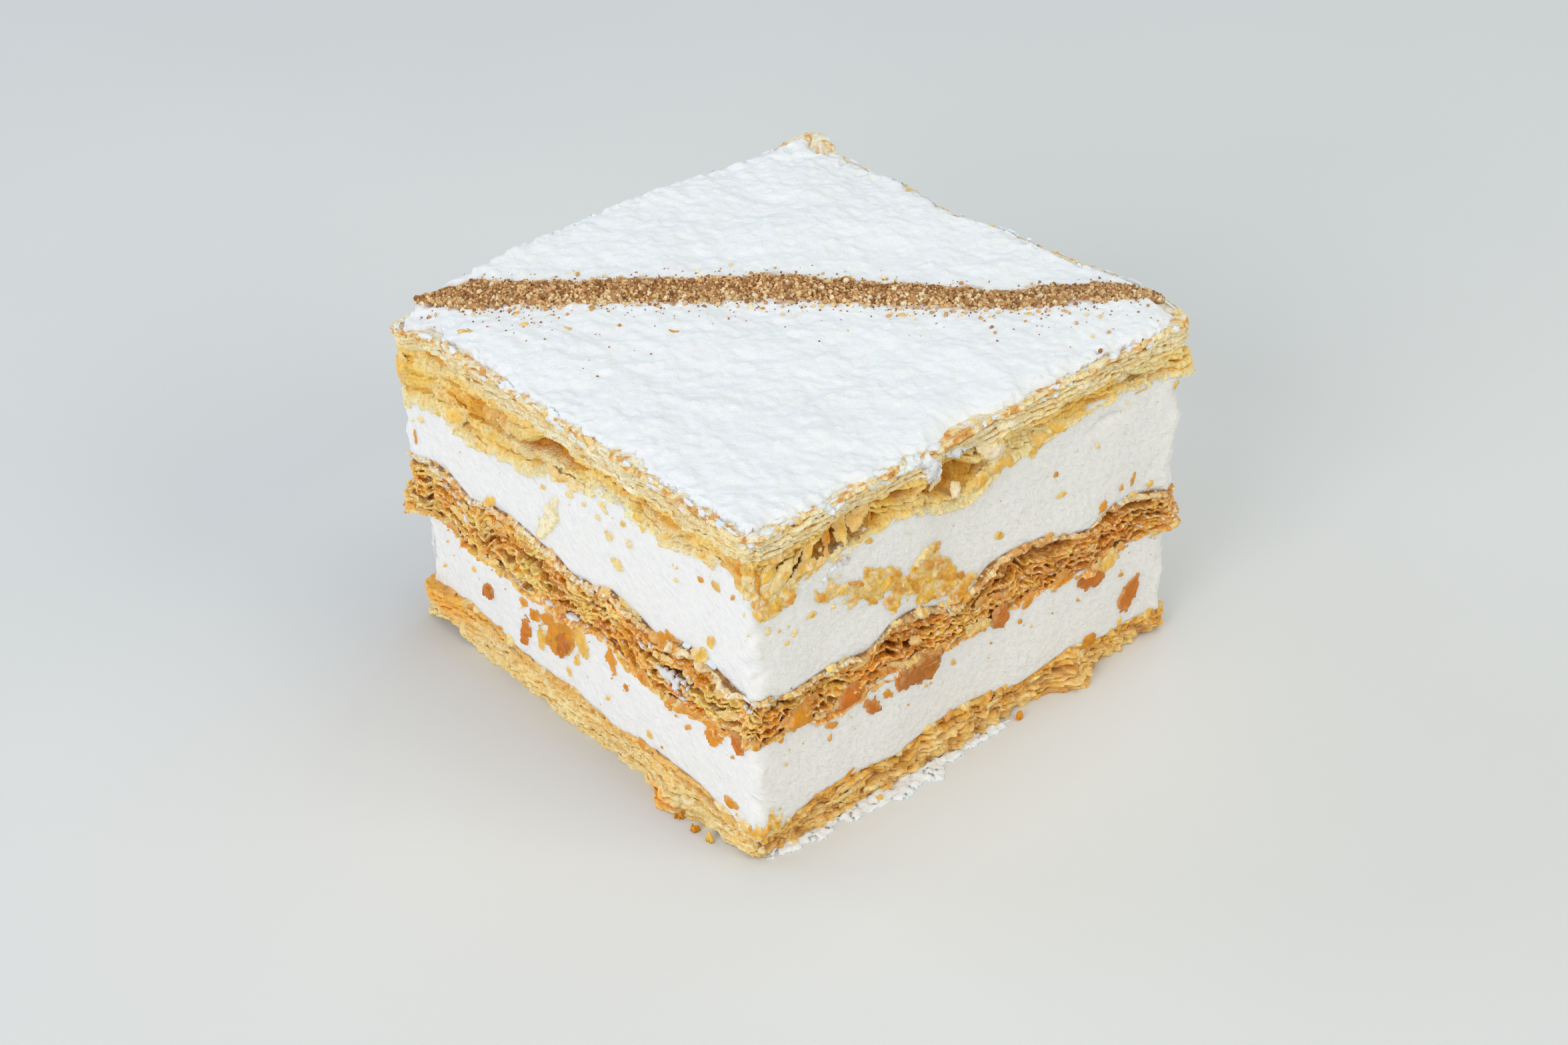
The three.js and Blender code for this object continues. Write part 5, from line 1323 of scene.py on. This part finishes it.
def icosahedron():
    g = (1 + 5 ** 0.5) / 2
    points = [(-1, g, 0), (1, g, 0), (-1, -g, 0), (1, -g, 0), (0, -1, g), (0, 1, g), (0, -1, -g), (0, 1, -g),
              (g, 0, -1), (g, 0, 1), (-g, 0, -1), (-g, 0, 1)]
    faces = [(0, 11, 5), (0, 5, 1), (0, 1, 7), (0, 7, 10), (0, 10, 11), (1, 5, 9), (5, 11, 4), (11, 10, 2),
             (10, 7, 6), (7, 1, 8), (3, 9, 4), (3, 4, 2), (3, 2, 6), (3, 6, 8), (3, 8, 9), (4, 9, 5),
             (2, 4, 11), (6, 2, 10), (8, 6, 7), (9, 8, 1)]
    return np.array(points) / math.hypot(1, g), np.array(faces)


def cube():
    points = np.array([(x, y, z) for x in (-1, 1) for y in (-1, 1) for z in (-1, 1)]) * 0.62
    faces = [(0, 1, 3, 2), (4, 6, 7, 5), (0, 4, 5, 1), (2, 3, 7, 6), (0, 2, 6, 4), (1, 5, 7, 3)]
    return points, np.array(faces)


def grains(name, shape, places, sizes, tints, slot, seed, squash=0.25, jitter=0.22):
    """Loose grains: each a turned, stretched copy of a small solid with moved corners."""
    rng = np.random.default_rng(seed)
    points, faces = shape
    count = len(places)
    shapes = points[None] * (1 + rng.uniform(-jitter, jitter, (count, len(points), 1)))
    shapes = shapes * (1 + rng.uniform(-squash, squash, (count, 1, 3)))
    turns = np.linalg.qr(rng.normal(size=(count, 3, 3)))[0]
    turns[:, :, 0] *= np.sign(np.linalg.det(turns))[:, None]
    body = np.einsum("nij,nkj->nki", turns, shapes) * sizes[:, None, None] / 2 + places[:, None]
    all_faces = (faces[None] + (np.arange(count) * len(points))[:, None, None]).reshape(-1, faces.shape[1])
    tint = np.repeat(tints, len(points), axis=0)
    build(name, body.reshape(-1, 3), all_faces, tint, flat=True)


CORE_TONES = palette((220, 178, 124), (196, 150, 96), (236, 204, 156), (154, 106, 60))
CRYSTAL_TONES = palette((238, 206, 158), (220, 180, 128), (246, 226, 190), (204, 160, 106))
SPECK_TONES = palette((150, 98, 52), (124, 78, 40), (184, 132, 78))


def line_grains():
    rng = np.random.default_rng(61)
    at, centre, side = line_places(LINE_POINTS)

    def on_line(count, spread, sizes, tones, lift):
        pick = rng.integers(3, 597, count)
        on = centre[pick] + side[pick] * (spread * line_half_width(at)[pick])[:, None]
        height = powder_height(*on.T) + 0.7 * bank(spread)
        tone = np.array(tones)[rng.integers(0, len(tones), count)] * rng.uniform(0.9, 1.08, (count, 1))
        tone = tone * (1 - 0.12 * smoothstep(60, 100, at[pick]))[:, None]
        places = np.column_stack([on, height + rng.uniform(-0.2, lift, count)])
        return places, rng.uniform(*sizes, count), tone

    # fine brown grains, with coarser pale crystals mostly along the near edge
    core = on_line(GRAINS, rng.uniform(-1, 1, GRAINS) * 1.12, (0.32, 0.72), CORE_TONES, 0.16)
    near_edge = np.where(rng.random(CRYSTALS) < 0.6, rng.uniform(-1.16, -0.5, CRYSTALS),
                         rng.uniform(-1.08, 1.08, CRYSTALS))
    coarse = on_line(CRYSTALS, near_edge, (0.45, 0.95), CRYSTAL_TONES, 0.1)
    # strewn beside it, more on the near side and in drifts
    pick = rng.integers(6, 590, STREWN)
    drift = 0.7 + 1.6 * np.clip(ripple(at[pick] * 3, 14, 65) + 0.3, 0, 1)
    away = -(line_half_width(at)[pick] + rng.exponential(1.0, STREWN) * drift)
    away = np.where(rng.random(STREWN) < 0.25, -away, away)
    off = centre[pick] + side[pick] * away[:, None]
    off = off[(np.abs(off) < [38.5, 39.5]).all(axis=1)]
    strewn = np.column_stack([off, powder_height(*off.T) + 0.1])
    tones = np.array(CORE_TONES + CRYSTAL_TONES)[rng.integers(0, 8, len(off))]
    sizes = np.concatenate([coarse[1], rng.uniform(0.35, 0.85, len(off))])
    grains("sugar_crystals", icosahedron(), np.concatenate([coarse[0], strewn]), sizes,
           np.concatenate([coarse[2], tones]), "cinnamon_sugar", 62)
    grains("cinnamon_grains", cube(), *core, "cinnamon_sugar", 66, 0.4)

    # fine dark specks on the line and in a trail beside it
    pick = rng.integers(3, 597, SPECKS)
    half = line_half_width(at)[pick]
    spread = rng.normal(0, 0.75, SPECKS)
    near = rng.random(SPECKS) < 0.14
    trail = rng.exponential(3.4, SPECKS) * (0.7 + 0.8 * (at[pick] < 30))
    away = np.where(near, -(half + trail), spread * half)
    spot = centre[pick] + side[pick] * away[:, None]
    inside = (np.abs(spot) < [39, 40]).all(axis=1)
    spot, share = spot[inside], (away / half)[inside]
    height = powder_height(*spot.T) + 0.72 * bank(share) + 0.03
    tones = np.array(SPECK_TONES)[rng.integers(0, 3, len(spot))]
    sizes = rng.uniform(0.16, 0.4, len(spot))
    places = np.column_stack([spot, height])
    grains("cinnamon_specks", cube(), places, sizes, tones, "cinnamon_sugar", 63, 0.5)


cinnamon_line()
line_grains()


# ---------------------------------------------------------------- stage, camera, light
CAMERA_AZIMUTH, CAMERA_ELEVATION, CAMERA_ROLL = 49.2, 34.3, -0.97
CAMERA_DISTANCE = 376.0
CAMERA_TARGET = np.array([9.85, -9.6, 27.5])
FOCAL_PIXELS, IMAGE_WIDTH = 3880.0, 2352


def place_camera():
    a, e, r = (math.radians(v) for v in (CAMERA_AZIMUTH, CAMERA_ELEVATION, CAMERA_ROLL))
    back = Vector((math.sin(a) * math.cos(e), -math.cos(a) * math.cos(e), math.sin(e)))
    right = Vector((math.cos(a), math.sin(a), 0))
    up = back.cross(right)
    right, up = math.cos(r) * right + math.sin(r) * up, math.cos(r) * up - math.sin(r) * right
    data = bpy.data.cameras.new("camera")
    data.sensor_width = 36
    data.lens = FOCAL_PIXELS / IMAGE_WIDTH * 36
    data.clip_start, data.clip_end = 0.01, 20
    camera = bpy.data.objects.new("camera", data)
    target = Vector((*(CAMERA_TARGET[:2] + SHIFT), CAMERA_TARGET[2])) * MM
    place = target + back * CAMERA_DISTANCE * MM
    camera.matrix_world = Matrix.Translation(place) @ Matrix((right, up, back)).transposed().to_4x4()
    bpy.context.scene.collection.objects.link(camera)
    bpy.context.scene.camera = camera


def area_light(name, place, size, power, tone):
    data = bpy.data.lights.new(name, "AREA")
    data.shape = "DISK"
    data.size = size
    data.energy = power
    data.color = tone
    lamp = bpy.data.objects.new(name, data)
    lamp.location = place
    lamp.rotation_mode = "QUATERNION"
    lamp.rotation_quaternion = (Vector(place) - Vector((0, 0, 0.02))).to_track_quat("Z", "Y")
    bpy.context.scene.collection.objects.link(lamp)


class Look:
    """A procedural material, to which nodes are added one after another."""

    def __init__(self, name, settings):
        self.material = bpy.data.materials.new(name)
        self.material.use_nodes = True
        tree = self.material.node_tree
        self.nodes, self.links, self.shader = tree.nodes, tree.links, tree.nodes["Principled BSDF"]
        self.fill(self.shader, settings)
        self.vector = self.node("TexCoord", {}).outputs["Object"]

    def fill(self, node, inputs):
        """Gives inputs their values, or links them where a value is another node's output."""
        for key, value in inputs.items():
            if isinstance(value, bpy.types.NodeSocket):
                self.links.new(value, node.inputs[key])
            else:
                node.inputs[key].default_value = value

    def node(self, kind, inputs, **settings):
        node = self.nodes.new("ShaderNode" + kind)
        for key, value in settings.items():
            setattr(node, key, value)
        self.fill(node, inputs)
        return node

    def noise(self, size, detail=3, rough=0.55, vector=None):
        """Noise whose lumps are about size millimetres wide."""
        vector = self.vector if vector is None else vector
        inputs = {"Vector": vector, "Scale": 1 / (size * MM), "Detail": detail, "Roughness": rough}
        return self.node("TexNoise", inputs).outputs["Fac"]

    def streaked(self, way, squeeze):
        """Coordinates squeezed along a direction, so noise is drawn out along it."""
        length = math.sqrt(sum(v * v for v in way))
        way = [v / length for v in way]
        dot = self.node("VectorMath", {0: self.vector, 1: way}, operation="DOT_PRODUCT").outputs["Value"]
        back = self.node("VectorMath", {0: [-squeeze * v for v in way], "Scale": dot}, operation="SCALE")
        moved = self.node("VectorMath", {0: self.vector, 1: back.outputs["Vector"]}, operation="ADD")
        return moved.outputs["Vector"]

    def tint(self):
        return self.node("Attribute", {}, attribute_name="tint").outputs["Color"]

    def plain(self, *tone):
        node = self.node("RGB", {})
        node.outputs[0].default_value = (*tone, 1)
        return node.outputs[0]

    def varied(self, base, noise, low, high):
        """Lightens and darkens a colour by noise."""
        level = self.node("MapRange", {"Value": noise, "From Min": 0.3, "From Max": 0.7,
                                       "To Min": low, "To Max": high})
        scaled = self.node("VectorMath", {0: base, "Scale": level.outputs["Result"]}, operation="SCALE")
        return scaled.outputs["Vector"]

    def blended(self, base, share, tone, blend_type="MIX"):
        mixed = self.node("Mix", {"Factor": share, "A": base, "B": (*tone, 1)}, data_type="RGBA",
                          blend_type=blend_type)
        return mixed.outputs["Result"]

    def tinged(self, base, noise, start, end, tone, blend_type="MULTIPLY"):
        """Blends a tone into a colour where a noise passes from start to end."""
        level = self.node("MapRange", {"Value": noise, "From Min": start, "From Max": end})
        return self.blended(base, level.outputs["Result"], tone, blend_type)

    def finished(self, base, bumps=()):
        """The material, with its colour and its bumps, each of a height and a depth in millimetres."""
        self.fill(self.shader, {"Base Color": base})
        normal = {}
        for height, depth in bumps:
            bump = self.node("Bump", {"Height": height, "Distance": depth * MM, "Strength": 1.0, **normal})
            normal = {"Normal": bump.outputs["Normal"]}
        self.fill(self.shader, normal)
        return self.material


def pastry_material(name, roughness, glow, wet, pit_shade, rough=0.16, glints=None, shine=0.5):
    look = Look(name, {"Roughness": roughness, "Specular IOR Level": shine, "Subsurface Weight": glow,
                       "Subsurface Radius": (1.0, 0.8, 0.55), "Subsurface Scale": 0.45 * MM,
                       "Coat Weight": wet, "Coat Roughness": 0.22})
    fine, spots = look.noise(0.4), look.noise(1.6)
    grain, crumbs = look.noise(0.18, 2), look.noise(0.75, 3, 0.6)
    base = look.varied(look.varied(look.tint(), fine, 0.92, 1.08), spots, 0.95, 1.05)
    # painted shade in the pits, where the crumb bumps are lowest
    base = look.tinged(base, crumbs, 0.47, 0.34, pit_shade)
    # painted highlight on the raised crumbs
    base = look.tinged(base, crumbs, 0.54, 0.66, (1.04, 1.08, 1.16))
    # painted glints on the highest crumbs
    if glints:
        base = look.tinged(base, crumbs, 0.55, 0.68, glints, "MIX")
    return look.finished(base, [(crumbs, 2 * rough), (fine, rough), (grain, 0.04)])


def cream_material():
    look = Look("cream", {"Roughness": 0.5, "Specular IOR Level": 0.35, "Subsurface Weight": 0.5,
                          "Subsurface Radius": (1.0, 0.85, 0.7), "Subsurface Scale": 1.4 * MM})
    streaks = look.noise(0.8, vector=look.streaked((1.0, 1.0, -0.9), 0.85))
    # the colour lightens and darkens with the drag streaks that also make its bumps: painted light and shade
    # of their relief
    base = look.varied(look.plain(0.925, 0.925, 0.91), streaks, 0.955, 1.025)
    return look.finished(base, [(streaks, 0.58), (look.noise(3.4, 2), 0.35)])


def powder_material():
    look = Look("powder", {"Roughness": 0.95, "Specular IOR Level": 0.1, "Subsurface Weight": 0.15,
                           "Subsurface Scale": 0.6 * MM})
    fine = look.noise(0.5, 4, 0.65)
    base = look.varied(look.plain(0.9, 0.932, 0.98), fine, 0.97, 1.02)
    stain = look.node("SeparateColor", {"Color": look.tint()}).outputs["Red"]
    base = look.blended(base, stain, colour(190, 142, 96))
    return look.finished(base, [(fine, 0.2), (look.noise(0.16, 2), 0.05)])


def cinnamon_material():
    look = Look("cinnamon", {"Roughness": 0.85})
    fine = look.noise(0.5, 4, 0.65)
    return look.finished(look.varied(look.plain(*colour(190, 142, 92)), fine, 0.78, 1.2), [(fine, 0.35)])


def crystal_material():
    look = Look("sugar_crystal", {"Roughness": 0.25, "Subsurface Weight": 0.5, "Subsurface Scale": 0.5 * MM,
                                  "Subsurface Radius": (1.0, 0.7, 0.4)})
    return look.finished(look.varied(look.tint(), look.noise(0.3, 2), 0.9, 1.1))


def speck_material():
    look = Look("cinnamon_speck", {"Roughness": 0.8})
    return look.finished(look.varied(look.tint(), look.noise(0.2, 2), 0.85, 1.15))


def floor_material():
    look = Look("pale_floor", {"Roughness": 0.7, "Specular IOR Level": 0.2})
    return look.finished(look.varied(look.plain(0.74, 0.755, 0.765), look.noise(90, 2), 0.99, 1.01))


def floor(size=4.0):
    mesh = bpy.data.meshes.new("floor")
    corners = [(-size, -size, 0), (size, -size, 0), (size, size, 0), (-size, size, 0)]
    mesh.from_pydata(corners, [], [(0, 1, 2, 3)])
    piece = bpy.data.objects.new("floor", mesh)
    bpy.context.scene.collection.objects.link(piece)
    piece.data.materials.append(floor_material())


# Lamps: name, place, size, power and tone.
LAMPS = [
    ("above", (0.1, 0.15, 1.0), 0.9, 3.4, (1.0, 0.98, 0.847)),
    ("left", (-0.9, -0.45, 0.35), 0.8, 3.15, (0.87, 0.868, 0.98)),
    ("front", (0.25, -0.95, 0.45), 0.7, 5.8, (1.0, 0.95, 0.91)),
    ("right", (0.9, 0.4, 0.6), 0.8, 4.25, (1.0, 0.86, 0.642)),
    ("behind", (-0.3, 0.9, 0.9), 0.8, 1.2, (0.66, 0.8, 1.0)),
]


def light_scene():
    scene = bpy.context.scene
    scene.view_settings.view_transform = "Standard"
    scene.view_settings.look = "None"
    scene.world = bpy.data.worlds.new("soft_room")
    scene.world.use_nodes = True
    background = scene.world.node_tree.nodes["Background"]
    background.inputs["Color"].default_value = (0.45, 0.55, 0.64, 1)
    background.inputs["Strength"].default_value = 0.5
    for lamp in LAMPS:
        area_light(*lamp)


def wear(names, material):
    for name in names:
        bpy.data.objects[name].data.materials.append(material)


# The colour tuple in each call is the painted shade of the crumb pits; glints are painted highlights.
wear(["top_sheet"], pastry_material("top_pastry", 0.5, 0.35, 0.1, (0.9, 0.74, 0.46), 0.22))
wear(["middle_sheet"],
     pastry_material("middle_pastry", 0.34, 0.2, 0.45, (0.66, 0.46, 0.2), glints=(1.0, 0.88, 0.62)))
wear(["bottom_sheet"], pastry_material("bottom_pastry", 0.55, 0.3, 0.1, (0.86, 0.72, 0.48)))
wear(["loose_flakes", "fringe_flakes", "wall_flakes"],
     pastry_material("flake_pastry", 0.38, 0.2, 0.1, (0.9, 0.78, 0.58), 0.1, shine=0.25))
wear(["upper_cream", "lower_cream"], cream_material())
wear(["powder_coat", "sugar_clumps", "sugar_films"], powder_material())
wear(["cinnamon_line"], cinnamon_material())
wear(["sugar_crystals"], crystal_material())
wear(["cinnamon_specks", "cinnamon_grains"], speck_material())

place_camera()
floor()
light_scene()
